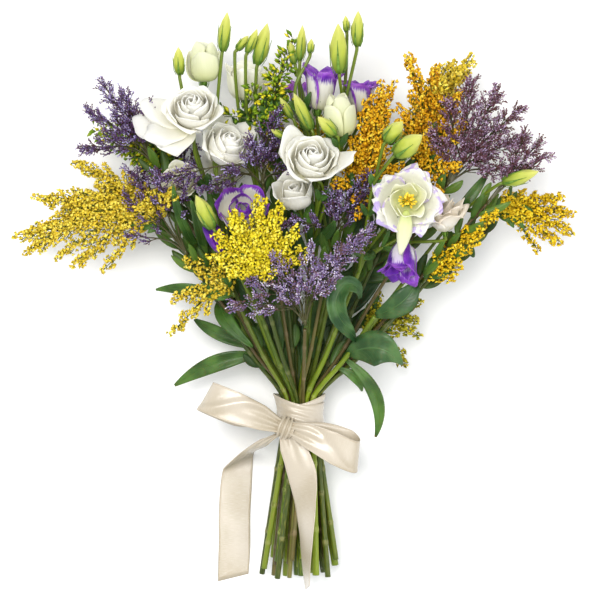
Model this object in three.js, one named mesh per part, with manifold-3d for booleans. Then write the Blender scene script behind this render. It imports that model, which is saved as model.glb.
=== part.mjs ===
// A hand-tied bouquet of lisianthus, goldenrod and sea lavender, lying on its back on a table.
// Units are millimetres. +Y runs along the stems towards the flowers, +Z points up from the table,
// and the table is the plane z = 0. The whole is shifted a little at the end, so that the origin is
// under its middle.
import * as THREE from 'three';
import { mergeVertices } from 'three/addons/utils/BufferGeometryUtils.js';
import Module from 'manifold-3d';

const wasm = await Module();
wasm.setup();

// Driving sizes of the tied bundle
const TIE_Y = -90;
const TIE_HEIGHT = 42;
const TIE_BELOW = 9;
const TIE_ABOVE = 12;
const STEM_PITCH = 5.2;
const SPRAY_STEM_AT_TIE = 3.8;
const SPRAY_STEM_ABOVE_TIE = 2.8;
const FLOWER_STEM_AT_TIE = 1.3;
const STEM_RADIUS = 2.9;
const STEM_LOW_RADIUS = 2.2;
const STEM_TOP_RADIUS = 1.7;
const CUT_Y = -216;
const CUT_HEIGHT = 24.4;
const CUT_SPREAD_X = 2.2;
const CUT_SPREAD_Z = 1.55;
const BUNDLE_TWIST = THREE.MathUtils.degToRad(24);
const STEM_LEVELS = [-44, 6, 56, 100];
const SEAT_GAP = 0.5;
const PETAL_LIFT = 1.3;
const CLEARANCE = 0.7;
const LEAST_GAP = 0.25;
const FACET = 0.1;
const TABLE_CLEARANCE = 4;
const RELAX_ROUNDS = 80;
const BEND_ROUNDS = 50;

// Driving sizes of the greenery and the flowers
const HIGHEST_JOINT = 0.93;
const LOWEST_JOINT = 0.43;
const BRANCH_RADIUS = 1.15;
const BRANCH_NECK = 3;
const RECEPTACLE_RADIUS = 2.4;
const ARM_RADIUS = 2;
const ARM_END = 0.86;
const FIRST_TUFT = 0.3;
const BLADE_THICKNESS = 1.5;
const LEAF_THICKNESS = 1.3;
const PLUMELET_RADIUS = 3.7;
const PLUMELET_LENGTH = 27;
const CLUSTER_RADIUS = 4.4;
const CLUSTER_LENGTH = 11;
const TWIG_LENGTH = 15;

// Driving sizes of the ribbon
const RIBBON_WIDTH = 26;
const RIBBON_THICKNESS = 0.9;
const WRAP_RADIUS = 17.7;

const UP = new THREE.Vector3(0, 0, 1);
const at = (x, y, z) => new THREE.Vector3(x, y, z);
const mix = (a, b, t) => a.clone().lerp(b, t);
const GOLDEN_ANGLE = Math.PI * (3 - Math.sqrt(5));

// A repeatable stream of numbers from 0 to 1
function randomFrom(seed) {
  let state = seed >>> 0;
  return () => {
    state = (state + 0x6d2b79f5) >>> 0;
    let t = state;
    t = Math.imul(t ^ (t >>> 15), t | 1);
    t ^= t + Math.imul(t ^ (t >>> 7), t | 61);
    return ((t ^ (t >>> 14)) >>> 0) / 4294967296;
  };
}

// Solids

function solidOf(geometry) {
  geometry.deleteAttribute('normal');
  geometry.deleteAttribute('uv');
  const merged = mergeVertices(geometry, 1e-4);
  const triVerts = new Uint32Array(merged.index.array);
  const mesh = { numProp: 3, vertProperties: merged.attributes.position.array, triVerts };
  let solid = new wasm.Manifold(new wasm.Mesh(mesh));
  if (solid.volume() < 0) {
    for (let i = 0; i < triVerts.length; i += 3) {
      [triVerts[i + 1], triVerts[i + 2]] = [triVerts[i + 2], triVerts[i + 1]];
    }
    solid = new wasm.Manifold(new wasm.Mesh(mesh));
  }
  return solid;
}

// Joins solids, keeps the largest body, and so drops loose scraps and fills sealed hollows
function fused(solids) {
  const whole = wasm.Manifold.union(solids).simplify(FACET);
  const bodies = whole.decompose();
  return bodies.reduce((best, body) => (body.volume() > best.volume() ? body : best));
}

function geometryOf(solid) {
  const { vertProperties, triVerts, numProp } = solid.getMesh();
  const geometry = new THREE.BufferGeometry();
  const points = new Float32Array((vertProperties.length / numProp) * 3);
  for (let i = 0; i < points.length / 3; i += 1) {
    points.set(vertProperties.subarray(i * numProp, i * numProp + 3), i * 3);
  }
  geometry.setAttribute('position', new THREE.BufferAttribute(points, 3));
  geometry.setIndex(new THREE.BufferAttribute(new Uint32Array(triVerts), 1));
  geometry.computeVertexNormals();
  return geometry;
}

// A closed skin on the grid of a cylinder, cone or ball: place(side, row) gives each point.
// A pointed end has all its places in one point.
function skin(sides, rows, place, pointed = {}) {
  const ball = Boolean(pointed.tip && pointed.root);
  const geometry = ball
    ? new THREE.SphereGeometry(1, sides, rows)
    : new THREE.CylinderGeometry(pointed.tip ? 0 : 1, pointed.root ? 0 : 1, 1, sides, rows);
  const position = geometry.getAttribute('position');
  for (let i = 0; i < position.count; i += 1) {
    const x = position.getX(i);
    const y = position.getY(i);
    const z = position.getZ(i);
    const share = ball ? Math.acos(THREE.MathUtils.clamp(-y, -1, 1)) / Math.PI : y + 0.5;
    const row = Math.round(share * rows);
    const point = at(0, 0, 0);
    if (Math.hypot(x, z) < 1e-6) {
      for (let side = 0; side < sides; side += 1) point.add(place(side, row));
      point.multiplyScalar(1 / sides);
    } else {
      const turn = Math.round((Math.atan2(x, z) / (2 * Math.PI)) * sides + (ball ? sides / 4 : 0));
      point.copy(place((turn + sides) % sides, row));
    }
    position.setXYZ(i, point.x, point.y, point.z);
  }
  return solidOf(geometry);
}

// Frames along a line of points, each turned as little as possible from the one before
function framesAlong(points) {
  const frames = [];
  points.forEach((point, i) => {
    const before = points[Math.max(i - 1, 0)];
    const after = points[Math.min(i + 1, points.length - 1)];
    const along = after.clone().sub(before).normalize();
    let side;
    if (i === 0) {
      side = Math.abs(along.z) < 0.9 ? UP.clone().cross(along) : at(1, 0, 0).cross(along);
    } else {
      side = frames[i - 1].side.clone();
    }
    side.addScaledVector(along, -side.dot(along)).normalize();
    frames.push({ point, along, side, face: along.clone().cross(side) });
  });
  return frames;
}

// A tube along points, with a radius at each, and a bump that may change with side and row
function tube(points, radii, sides, pointed = {}, bump = () => 1) {
  const frames = framesAlong(points);
  const place = (side, row) => {
    const { point, side: across, face } = frames[row];
    const angle = (2 * Math.PI * (side + 0.5)) / sides;
    const radius = radii[row] * bump(side, row);
    return point
      .clone()
      .addScaledVector(across, Math.cos(angle) * radius)
      .addScaledVector(face, Math.sin(angle) * radius);
  };
  return skin(sides, points.length - 1, place, pointed);
}

// A blade with a thick middle and thin rims: place(u, v) for u from -1 to 1 and v from 0 to 1.
// Both faces are split along the same diagonals, so that they never cross.
function blade(columns, rows, thickness, place, fullRim = false) {
  const sheet = new THREE.PlaneGeometry(2, 1, columns, rows);
  const grid = sheet.getAttribute('position');
  const point = (u, v) => place(THREE.MathUtils.clamp(u, -1, 1), THREE.MathUtils.clamp(v, 0, 1));
  const points = [];
  for (let face = 0; face < 2; face += 1) {
    for (let i = 0; i < grid.count; i += 1) {
      const u = grid.getX(i);
      const v = grid.getY(i) + 0.5;
      const step = 0.02;
      const across = point(u + step, v).sub(point(u - step, v));
      const along = point(u, v + step).sub(point(u, v - step));
      const normal = across.cross(along).normalize();
      const rim = !fullRim && (Math.abs(u) > 0.999 || v > 0.999 || v < 0.001);
      const lift = (rim ? 0 : thickness / 2) * (face === 0 ? 1 : -1);
      points.push(...point(u, v).addScaledVector(normal, lift).toArray());
    }
  }
  const front = [...sheet.index.array];
  const index = [...front];
  for (let i = 0; i < front.length; i += 3) {
    index.push(front[i] + grid.count, front[i + 2] + grid.count, front[i + 1] + grid.count);
  }
  if (fullRim) {
    const back = grid.count;
    const edges = new Map();
    for (let i = 0; i < front.length; i += 3) {
      [0, 1, 2].forEach((k) => edges.set(`${front[i + k]} ${front[i + ((k + 1) % 3)]}`, true));
    }
    [...edges.keys()].forEach((edge) => {
      const [a, b] = edge.split(' ').map(Number);
      if (!edges.has(`${b} ${a}`)) index.push(b, a, a + back, b, a + back, b + back);
    });
  }
  const geometry = new THREE.BufferGeometry();
  geometry.setAttribute('position', new THREE.Float32BufferAttribute(points, 3));
  geometry.setIndex(index);
  return solidOf(geometry);
}

// A smooth line through control points, as straight steps
function smoothLine(points, steps) {
  return new THREE.CatmullRomCurve3(points, false, 'centripetal').getPoints(steps);
}

// Blooms: base is the point where the flower sits on its stalk, look is where its mouth points.
// Sizes are the width across the mouth and the height from base to rim.

const BLOOMS = [
  { name: 'bloom_cream_tulip_left', kind: 'tulip', base: [-77, 172, 70],
    look: [0, 1, 0.1], wide: 27, high: 36 },
  { name: 'bloom_white_cup_top', kind: 'plain', base: [-44, 160, 48],
    look: [0.05, 1, 0.3], wide: 36, high: 34 },
  { name: 'bloom_white_rose_left', kind: 'rose', base: [-84, 142, 101],
    look: [-0.05, 0.6, 0.8], wide: 46, high: 28 },
  { name: 'bloom_white_rose_middle', kind: 'rose', base: [-65, 115, 76],
    look: [0.42, 0.6, 0.68], wide: 43, high: 28 },
  { name: 'bloom_white_half_hidden', kind: 'plain', base: [-92, 95, 70],
    look: [-0.2, 0.15, 0.97], wide: 28, high: 23 },
  { name: 'bloom_white_rose_front', kind: 'rose', base: [8, 103, 114],
    look: [0.08, 0.55, 0.83], wide: 44, high: 28 },
  { name: 'bloom_white_cup_front', kind: 'cup', base: [-1, 76, 92],
    look: [-0.2, 0.7, 0.68], wide: 33, high: 27 },
  { name: 'bloom_cream_tulip_right', kind: 'tulip', base: [33, 126, 107],
    look: [-0.08, 1, 0.12], wide: 24, high: 38 },
  { name: 'bloom_violet_rim_tall', kind: 'bell', base: [14, 148, 88],
    look: [0.12, 1, 0.22], wide: 31, high: 41 },
  { name: 'bloom_violet_rim_small', kind: 'bell', base: [48, 146, 78],
    look: [0.03, 1, 0.2], wide: 27, high: 32 },
  { name: 'bloom_lilac_open', kind: 'open', base: [84, 79, 116],
    look: [0.02, 0.06, 1], wide: 52, high: 22 },
  { name: 'bloom_withered', kind: 'tulip', base: [115, 52, 100],
    look: [-0.1, 1, 0.35], wide: 15, high: 34 },
  { name: 'bloom_violet_nodding', kind: 'bell', base: [84, 50, 98],
    look: [-0.2, -0.92, 0.36], wide: 31, high: 34 },
  { name: 'bloom_violet_rim_left', kind: 'cup', base: [-46, 64, 86],
    look: [0.05, 0.5, 0.86], wide: 40, high: 27 },
  { name: 'bloom_violet_folded', kind: 'tulip', base: [-58, 36, 88],
    look: [-0.5, 0.86, 0.05], wide: 15, high: 33 },
  { name: 'bloom_back_left', kind: 'plain', base: [-58, 110, 30.75],
    look: [-0.1, 0.25, -0.96], wide: 40, high: 26 },
  { name: 'bloom_back_right', kind: 'plain', base: [66, 98, 30.45],
    look: [0.12, 0.2, -0.97], wide: 40, high: 26 },
  { name: 'bloom_back_top', kind: 'bell', base: [4, 140, 44],
    look: [0.05, 0.95, -0.3], wide: 31, high: 38 },
].map((bloom) => ({
  ...bloom,
  base: at(...bloom.base),
  look: at(...bloom.look).normalize(),
}));

// Petal layers of each kind. Each profile runs from the root of a petal to its rim, as distance
// from the flower's axis and height, in parts of the width and of the height.
const LAYERS = {
  tulip: [
    { petals: 4, profile: [[0.03, 0.1], [0.56, 0.1], [0.62, 0.6], [0.2, 1]],
      width: 0.42, tip: 0.1 },
  ],
  cup: [
    { petals: 3, profile: [[0.03, 0.12], [0.34, 0.1], [0.3, 0.5], [0.24, 0.86]],
      width: 0.27, tip: 0.5 },
    { petals: 5, profile: [[0.03, 0.1], [0.5, 0.04], [0.44, 0.55], [0.52, 0.98]],
      width: 0.35, tip: 0.55 },
  ],
  plain: [
    { petals: 5, profile: [[0.03, 0.1], [0.5, 0.04], [0.44, 0.55], [0.52, 0.98]],
      width: 0.35, tip: 0.55 },
  ],
  bell: [
    { petals: 5, profile: [[0.03, 0.1], [0.42, 0.1], [0.3, 0.72], [0.52, 0.98]],
      width: 0.31, tip: 0.6, flared: true },
  ],
  rose: [
    { petals: 3, profile: [[0.03, 0.14], [0.2, 0.2], [0.22, 0.7], [0.12, 1]],
      width: 0.18, tip: 0.4 },
    { petals: 4, profile: [[0.03, 0.12], [0.36, 0.05], [0.35, 0.65], [0.29, 0.94]],
      width: 0.27, tip: 0.5 },
    { petals: 5, profile: [[0.03, 0.1], [0.44, 0], [0.46, 0.4], [0.53, 0.66]],
      width: 0.34, tip: 0.6, flared: true },
  ],
  open: [
    { petals: 5, profile: [[0.03, 0.14], [0.2, 0.1], [0.26, 0.6], [0.24, 0.94]],
      width: 0.18, tip: 0.4 },
    { petals: 6, profile: [[0.03, 0.1], [0.3, 0.02], [0.42, 0.3], [0.51, 0.62]],
      width: 0.29, tip: 0.45, flared: true },
  ],
};
const HEART = {
  tulip: { wide: 0.3, high: 0.86 },
  cup: { wide: 0.15, high: 0.62 },
  plain: { wide: 0.2, high: 0.6 },
  bell: { wide: 0.17, high: 0.62 },
  rose: { wide: 0.13, high: 0.9 },
  open: { wide: 0.13, high: 0.55 },
};

function bloomAxes(bloom) {
  const { look } = bloom;
  const reference = Math.abs(look.y) < 0.9 ? at(0, 1, 0) : UP;
  const right = reference.clone().cross(look).normalize();
  return { look, right, up: look.clone().cross(right) };
}

// The outline of a petal, as its share of the full width at each height
function petalOutline(v, tip) {
  const body = 0.14 + 0.86 * Math.sin((Math.PI / 2) * Math.min(v / 0.62, 1));
  return body - (1 - tip) * Math.max(0, (v - 0.55) / 0.45) ** 2;
}

function petal(bloom, layer, index, columns, rows) {
  const { look, right, up } = bloomAxes(bloom);
  const start = LAYERS[bloom.kind].indexOf(layer) * 0.6 + bloom.wide;
  const angle = start + (2 * Math.PI * index) / layer.petals;
  const outwards = right.clone().multiplyScalar(Math.cos(angle)).addScaledVector(up, Math.sin(angle));
  const sideways = right.clone().multiplyScalar(-Math.sin(angle)).addScaledVector(up, Math.cos(angle));
  const profile = new THREE.CubicBezierCurve(
    ...layer.profile.map(([r, h]) => new THREE.Vector2(r * bloom.wide, h * bloom.high)),
  );
  const overlap = 0.045 * bloom.wide;
  const place = (u, v) => {
    const { x: radius, y: height } = profile.getPoint(v);
    const curl = Math.max(radius, 0.26 * bloom.wide);
    const turn = (u * layer.width * bloom.wide * petalOutline(v, layer.tip)) / curl;
    const lifted = radius + overlap * u - curl * (1 - Math.cos(turn));
    const rimDip = 0.1 * bloom.high * v ** 4 * u * u;
    return bloom.base
      .clone()
      .addScaledVector(look, PETAL_LIFT + height - rimDip)
      .addScaledVector(outwards, lifted)
      .addScaledVector(sideways, curl * Math.sin(turn));
  };
  return blade(columns, rows, BLADE_THICKNESS, place);
}

function heart(bloom) {
  const { wide, high } = HEART[bloom.kind];
  const heights = [0, 0.2, 0.62, 1];
  const widths = [0.09, Math.max(wide, 0.13), wide, 0];
  const points = heights.map((h) =>
    bloom.base.clone().addScaledVector(bloom.look, SEAT_GAP + h * high * bloom.high),
  );
  return tube(points, widths.map((w) => w * bloom.wide), 4, { tip: true });
}

function bloomSolid(bloom) {
  const solids = [heart(bloom)];
  LAYERS[bloom.kind].forEach((layer) => {
    for (let i = 0; i < layer.petals; i += 1) {
      solids.push(petal(bloom, layer, i, 2, layer.flared ? 3 : 2));
    }
  });
  return fused(solids);
}

// Buds: the point where each sits on its stalk, its tip, and its width. A bud's stalk leaves the
// stem, or the branch of the bloom that from names.
const BUDS = {
  left_flower_stem: [
    { base: [-62, 200, 82], tip: [-58, 231, 84], wide: 10 },
    { base: [-96, 181, 84], tip: [-97, 203, 86], wide: 9 },
  ],
  top_left_flower_stem: [
    { base: [-50, 201, 86], tip: [-41, 212, 88], wide: 6.5 },
    { base: [-42, 198, 90], tip: [-34, 217, 92], wide: 7 },
    { base: [-34, 189, 84], tip: [-26, 222, 86], wide: 12 },
  ],
  middle_flower_stem: [
    { base: [9, 136, 110], tip: [-5, 165, 106], wide: 10 },
    { base: [-6, 146, 98], tip: [-16, 162, 98], wide: 6.5 },
    { base: [28, 131, 126], tip: [14, 145, 131], wide: 10, from: 'bloom_cream_tulip_right' },
    { base: [-12, 130, 110], tip: [-23, 136, 112], wide: 5.5 },
  ],
  top_flower_stem: [
    { base: [0, 192, 90], tip: [2, 220, 92], wide: 8 },
    { base: [-4, 190, 79], tip: [-8, 208, 78], wide: 7 },
    { base: [8, 197, 104], tip: [9, 208, 106], wide: 5.5 },
    { base: [31, 180, 114], tip: [30, 219, 116], wide: 14 },
    { base: [45, 202, 104], tip: [46, 230, 106], wide: 10 },
    { base: [37, 214, 100], tip: [36, 227, 100], wide: 5.5 },
  ],
  right_flower_stem: [
    { base: [67, 125, 132], tip: [80, 141, 134], wide: 14 },
    { base: [74, 114, 138], tip: [95, 130, 142], wide: 16 },
  ],
  left_front_flower_stem: [{ base: [-68, 58, 114], tip: [-82, 84, 115], wide: 13 }],
  far_right_flower_stem: [{ base: [160, 94, 108], tip: [188, 103, 112], wide: 11 }],
};
Object.values(BUDS).flat().forEach((bud) => {
  bud.base = at(...bud.base);
  bud.tip = at(...bud.tip);
});

function budSolid(bud) {
  const heights = [-0.1, 0.14, 0.55, 1];
  const widths = [0, 0.82, 0.96, 0];
  const points = heights.map((h) => mix(bud.base, bud.tip, h));
  return tube(points, widths.map((w) => (w * bud.wide) / 2), 4, { tip: true, root: true });
}

// Stems: each has a top where it branches or carries a spray, and the blooms on its branches
const FLOWER_STEMS = [
  {
    name: 'left_flower_stem',
    top: [-66, 64, 70],
    blooms: ['bloom_white_rose_left', 'bloom_white_rose_middle', 'bloom_white_half_hidden'],
  },
  {
    name: 'top_left_flower_stem',
    top: [-38, 104, 54],
    blooms: ['bloom_cream_tulip_left', 'bloom_white_cup_top'],
  },
  {
    name: 'middle_flower_stem',
    top: [8, 48, 84],
    blooms: ['bloom_white_rose_front', 'bloom_white_cup_front', 'bloom_cream_tulip_right'],
  },
  {
    name: 'top_flower_stem',
    top: [20, 100, 70],
    blooms: ['bloom_violet_rim_tall', 'bloom_violet_rim_small'],
  },
  {
    name: 'right_flower_stem',
    top: [56, 46, 92],
    blooms: ['bloom_lilac_open', 'bloom_withered', 'bloom_violet_nodding'],
  },
  {
    name: 'left_front_flower_stem',
    top: [-42, 20, 82],
    blooms: ['bloom_violet_rim_left', 'bloom_violet_folded'],
  },
  { name: 'far_right_flower_stem', top: [118, 60, 66], blooms: [] },
  { name: 'back_left_flower_stem', top: [-44, 62, 36], blooms: ['bloom_back_left'] },
  {
    name: 'back_right_flower_stem',
    top: [34, 62, 40],
    blooms: ['bloom_back_right', 'bloom_back_top'],
  },
];
const LEAFY_STEMS = [
  { name: 'left_leafy_stem', top: [-78, 36, 52], blooms: [] },
  { name: 'right_leafy_stem', top: [62, -8, 78], blooms: [] },
];

// Sprays: each arm leaves the top of the spray's stem for a tip, with a number of tufts along it
const GOLDENROD = [
  {
    name: 'goldenrod_left_plume',
    top: [-108, 62, 66],
    arms: [[[-219, 55, 58], 5], [[-172, 108, 70], 3], [[-190, 40, 64], 3], [[-152, 32, 62], 2]],
  },
  { name: 'goldenrod_upper_left', top: [-100, 96, 48], arms: [[[-158, 136, 42], 4], [[-118, 132, 44], 2]] },
  {
    name: 'goldenrod_top',
    top: [-22, 132, 78],
    arms: [[[-20, 178, 88], 2], [[-6, 205, 70], 3], [[-50, 148, 82], 2]],
  },
  {
    name: 'goldenrod_front_left',
    top: [-30, 12, 108],
    arms: [[[-34, 70, 120], 4], [[-60, 48, 116], 3], [[-8, 50, 122], 2]],
  },
  { name: 'goldenrod_low_left', top: [-52, 4, 76], arms: [[[-98, -20, 70], 3], [[-84, 30, 74], 2]] },
  {
    name: 'goldenrod_orange_middle',
    top: [42, 84, 92],
    arms: [[[53, 152, 104], 3], [[70, 166, 96], 4], [[62, 118, 112], 2]],
  },
  {
    name: 'goldenrod_orange_right',
    top: [92, 98, 86],
    arms: [[[88, 190, 92], 4], [[124, 160, 94], 3], [[120, 108, 104], 2]],
  },
  { name: 'goldenrod_upper_right', top: [92, 132, 56], arms: [[[132, 188, 54], 3], [[108, 178, 62], 3]] },
  {
    name: 'goldenrod_right_plume',
    top: [152, 68, 62],
    arms: [[[211, 60, 58], 5], [[206, 84, 66], 3], [[190, 44, 60], 2]],
  },
  { name: 'goldenrod_low_right', top: [98, 16, 78], arms: [[[150, 66, 98], 3], [[118, 30, 88], 2]] },
  { name: 'goldenrod_olive', top: [46, -22, 36], arms: [[[92, 0, 40], 2], [[82, -46, 34], 3]] },
  { name: 'goldenrod_back', top: [-8, 92, 26], arms: [[[-22, 150, 16], 3], [[34, 150, 18], 3]] },
];
const SEA_LAVENDER = [
  {
    name: 'sea_lavender_far_left',
    top: [-116, 110, 76],
    arms: [[[-152, 166, 84], 3], [[-164, 124, 82], 3], [[-120, 146, 92], 2]],
  },
  {
    name: 'sea_lavender_left',
    top: [-29, 92, 90],
    arms: [[[-22, 140, 104], 3], [[-70, 92, 108], 2], [[-12, 104, 84], 2], [[-102, 98, 116], 2]],
  },
  {
    name: 'sea_lavender_low_left',
    top: [-90, 38, 74],
    arms: [[[-130, 98, 84], 3], [[-128, 52, 84], 3], [[-92, 90, 98], 2]],
  },
  {
    name: 'sea_lavender_front',
    top: [4, -18, 102],
    arms: [[[-16, 28, 126], 3], [[30, 34, 124], 3], [[50, 52, 118], 3], [[-44, -2, 104], 2]],
  },
  { name: 'sea_lavender_middle', top: [26, 48, 100], arms: [[[50, 92, 106], 3], [[-4, 62, 116], 3]] },
  {
    name: 'sea_lavender_right',
    top: [116, 92, 92],
    arms: [[[134, 168, 96], 3], [[168, 148, 92], 3], [[170, 104, 90], 2]],
  },
  { name: 'sea_lavender_far_right', top: [148, 78, 100], arms: [[[190, 112, 104], 3], [[176, 126, 96], 2]] },
  {
    name: 'sea_lavender_back',
    top: [-84, 78, 30],
    arms: [[[-128, 118, 20], 3], [[-96, 140, 22], 2], [[-126, 76, 24], 2]],
  },
];
[...FLOWER_STEMS, ...LEAFY_STEMS, ...GOLDENROD, ...SEA_LAVENDER].forEach((plant) => {
  plant.top = at(...plant.top);
});
[...GOLDENROD, ...SEA_LAVENDER].forEach((spray) => {
  spray.arms = spray.arms.map(([tip, tufts]) => ({ tip: at(...tip), tufts }));
});

// Round room that the blooms and buds need, which stems and sprays keep out of
const ROOM = [];
BLOOMS.forEach((bloom) => {
  const shallow = bloom.kind === 'rose' || bloom.kind === 'open';
  const radius = bloom.wide * 0.5;
  const low = shallow ? 0.45 : 0.42;
  const high = shallow ? 0.5 : 0.76;
  [low, high].forEach((h) => {
    ROOM.push({
      owner: bloom.name,
      centre: bloom.base.clone().addScaledVector(bloom.look, h * bloom.high),
      radius,
    });
  });
});
Object.entries(BUDS).forEach(([owner, buds]) => {
  buds.forEach((bud) => {
    [0.3, 0.65].forEach((h) => {
      ROOM.push({ owner, centre: mix(bud.base, bud.tip, h), radius: bud.wide / 2 });
    });
  });
});

function pushedOut(point, radius, owner) {
  ROOM.forEach((room) => {
    if (room.owner === owner) return;
    const away = point.clone().sub(room.centre);
    const short = room.radius + radius + CLEARANCE - away.length();
    if (short > 0) point.addScaledVector(away.normalize(), short);
  });
  return point;
}

// Stems stand in the tie in a close hexagonal order
function tieSlots(count) {
  const slots = [];
  for (let row = -4; row <= 4; row += 1) {
    for (let column = -4; column <= 4; column += 1) {
      const x = STEM_PITCH * (column + row / 2);
      const z = (STEM_PITCH * row * Math.sqrt(3)) / 2;
      slots.push({ x, z, far: Math.hypot(x, z) + 1e-3 * Math.atan2(z, x) });
    }
  }
  return slots.sort((a, b) => a.far - b.far).slice(0, count);
}

// Each stem gets the place in the tie that suits the way it leaves, so that none cross
function stemPlan(plants) {
  const slots = tieSlots(plants.length);
  const leans = plants.map(({ top }) => {
    const rise = top.y - TIE_Y;
    return { x: top.x / rise, z: (top.z - TIE_HEIGHT) / rise };
  });
  const LEAN_TO_PLACE = 17;
  const cost = (stem, slot) =>
    (slots[slot].x - LEAN_TO_PLACE * leans[stem].x) ** 2 +
    (slots[slot].z - LEAN_TO_PLACE * leans[stem].z) ** 2;
  const order = plants.map((_, i) => i);
  let improved = true;
  while (improved) {
    improved = false;
    for (let a = 0; a < order.length; a += 1) {
      for (let b = a + 1; b < order.length; b += 1) {
        const now = cost(a, order[a]) + cost(b, order[b]);
        const swapped = cost(a, order[b]) + cost(b, order[a]);
        if (swapped < now - 1e-9) {
          [order[a], order[b]] = [order[b], order[a]];
          improved = true;
        }
      }
    }
  }
  return plants.map((plant, i) => ({ plant, slot: slots[order[i]] }));
}

function stemLines(plants, sprayCount) {
  const stems = stemPlan(plants).map(({ plant, slot }, i) => {
    const rise = plant.top.y - TIE_Y;
    const levels = STEM_LEVELS.filter((y) => y < plant.top.y - 14);
    const upper = levels.map((y) => {
      const share = (y - TIE_Y) / rise;
      const x = slot.x * (1 - share) + plant.top.x * share ** 1.1;
      const z = (TIE_HEIGHT + slot.z) * (1 - share) + plant.top.z * share;
      return at(x, y, z);
    });
    return { plant, slot, upper, spray: i >= plants.length - sprayCount };
  });
  const radiusAt = (stem, level) => {
    const share = (level + 1) / (stem.upper.length + 1);
    return STEM_LOW_RADIUS + (STEM_TOP_RADIUS - STEM_LOW_RADIUS) * share;
  };
  for (let round = 0; round < RELAX_ROUNDS; round += 1) {
    STEM_LEVELS.forEach((_, level) => {
      const here = stems.filter((stem) => stem.upper.length > level);
      here.forEach((a, i) => {
        here.slice(i + 1).forEach((b) => {
          const apart = b.upper[level].clone().sub(a.upper[level]);
          const need = (radiusAt(a, level) + radiusAt(b, level)) * 1.22 + CLEARANCE;
          const short = need - apart.length();
          if (short > 0) {
            apart.normalize().multiplyScalar(short / 2);
            a.upper[level].sub(apart);
            b.upper[level].add(apart);
          }
        });
        const y = a.upper[level].y;
        pushedOut(a.upper[level], radiusAt(a, level), a.plant.name);
        a.upper[level].y = y;
        a.upper[level].z = Math.max(a.upper[level].z, TABLE_CLEARANCE);
      });
    });
  }
  return stems.map((stem) => {
    const { plant, slot, spray } = stem;
    const twisted = (turn, spreadX, spreadZ) => {
      const x = slot.x * Math.cos(turn) - slot.z * Math.sin(turn);
      const z = slot.x * Math.sin(turn) + slot.z * Math.cos(turn);
      return [x * spreadX, z * spreadZ];
    };
    const [cutX, cutZ] = twisted(BUNDLE_TWIST, CUT_SPREAD_X, CUT_SPREAD_Z);
    const length = 1 + 0.07 * Math.sin(slot.x * 1.7 + slot.z * 2.3);
    const low = at(slot.x, TIE_Y - TIE_BELOW, TIE_HEIGHT + slot.z);
    const points = [
      low.clone().lerp(at(cutX, CUT_Y, CUT_HEIGHT + cutZ), length),
      low,
      at(slot.x, TIE_Y + TIE_ABOVE, TIE_HEIGHT + slot.z),
      ...stem.upper,
      plant.top,
    ];
    const radii = [
      STEM_RADIUS,
      spray ? SPRAY_STEM_AT_TIE : FLOWER_STEM_AT_TIE,
      spray ? SPRAY_STEM_ABOVE_TIE : FLOWER_STEM_AT_TIE,
      ...stem.upper.map((_, level) => radiusAt(stem, level)),
      STEM_TOP_RADIUS,
    ];
    return { plant, points, radii };
  });
}

const STALKS = stemLines(
  [...FLOWER_STEMS, ...LEAFY_STEMS, ...GOLDENROD, ...SEA_LAVENDER],
  GOLDENROD.length + SEA_LAVENDER.length,
);
const stalkOf = (plant) => STALKS.find((stalk) => stalk.plant === plant);

function stalkSolid(plant) {
  const { points, radii } = stalkOf(plant);
  return tube(points, radii, 4);
}

// Distance between two straight pieces, tried at steps along both
function gapBetween(a, b, c, d) {
  const line = new THREE.Line3(c, d);
  const nearest = at(0, 0, 0);
  let best = Infinity;
  for (let step = 0; step <= 4; step += 1) {
    const point = mix(a, b, step / 4);
    line.closestPointToPoint(point, true, nearest);
    if (nearest.distanceTo(point) < best) best = nearest.distanceTo(point);
  }
  return best;
}

// Branches of the flower stems: bent clear of everything that is not on their own stem
const LAID = [];
STALKS.forEach(({ plant, points, radii }) => {
  for (let i = 0; i + 1 < points.length; i += 1) {
    LAID.push({ owner: plant.name, from: points[i], to: points[i + 1], radius: radii[i] });
  }
});

function bentClear(points, radius, owner, ownBloom) {
  const nearest = at(0, 0, 0);
  const push = (point) => {
    const shift = at(0, 0, 0);
    ROOM.forEach((room) => {
      if (room.owner === ownBloom) return;
      const away = point.clone().sub(room.centre);
      const short = room.radius + radius + 3 * CLEARANCE - away.length();
      if (short > 0) shift.addScaledVector(away.normalize(), short * 0.5);
    });
    LAID.forEach((piece) => {
      if (piece.owner === owner) return;
      new THREE.Line3(piece.from, piece.to).closestPointToPoint(point, true, nearest);
      const away = point.clone().sub(nearest);
      const short = piece.radius + radius + CLEARANCE + 1 - away.length();
      if (short > 0) shift.addScaledVector(away.normalize(), short * 0.5);
    });
    return shift;
  };
  for (let round = 0; round < BEND_ROUNDS; round += 1) {
    for (let i = 1; i + 1 < points.length; i += 1) {
      points[i].lerp(mix(points[i - 1], points[i + 1], 0.5), 0.06).add(push(points[i]));
    }
    for (let i = 1; i < points.length; i += 1) {
      const shift = push(mix(points[i - 1], points[i], 0.5));
      if (i > 1) points[i - 1].add(shift);
      if (i + 1 < points.length) points[i].add(shift);
    }
  }
  return points;
}

// The place and heading at which a branch leaves the plant's stem, or the branch that it forks from
function branchRoot(plant, share, fork) {
  const [below, top] = fork ? fork.line.slice(-4, -2) : stalkOf(plant).points.slice(-2);
  return { start: fork ? top : mix(below, top, share), leave: top.clone().sub(below).normalize() };
}

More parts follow.
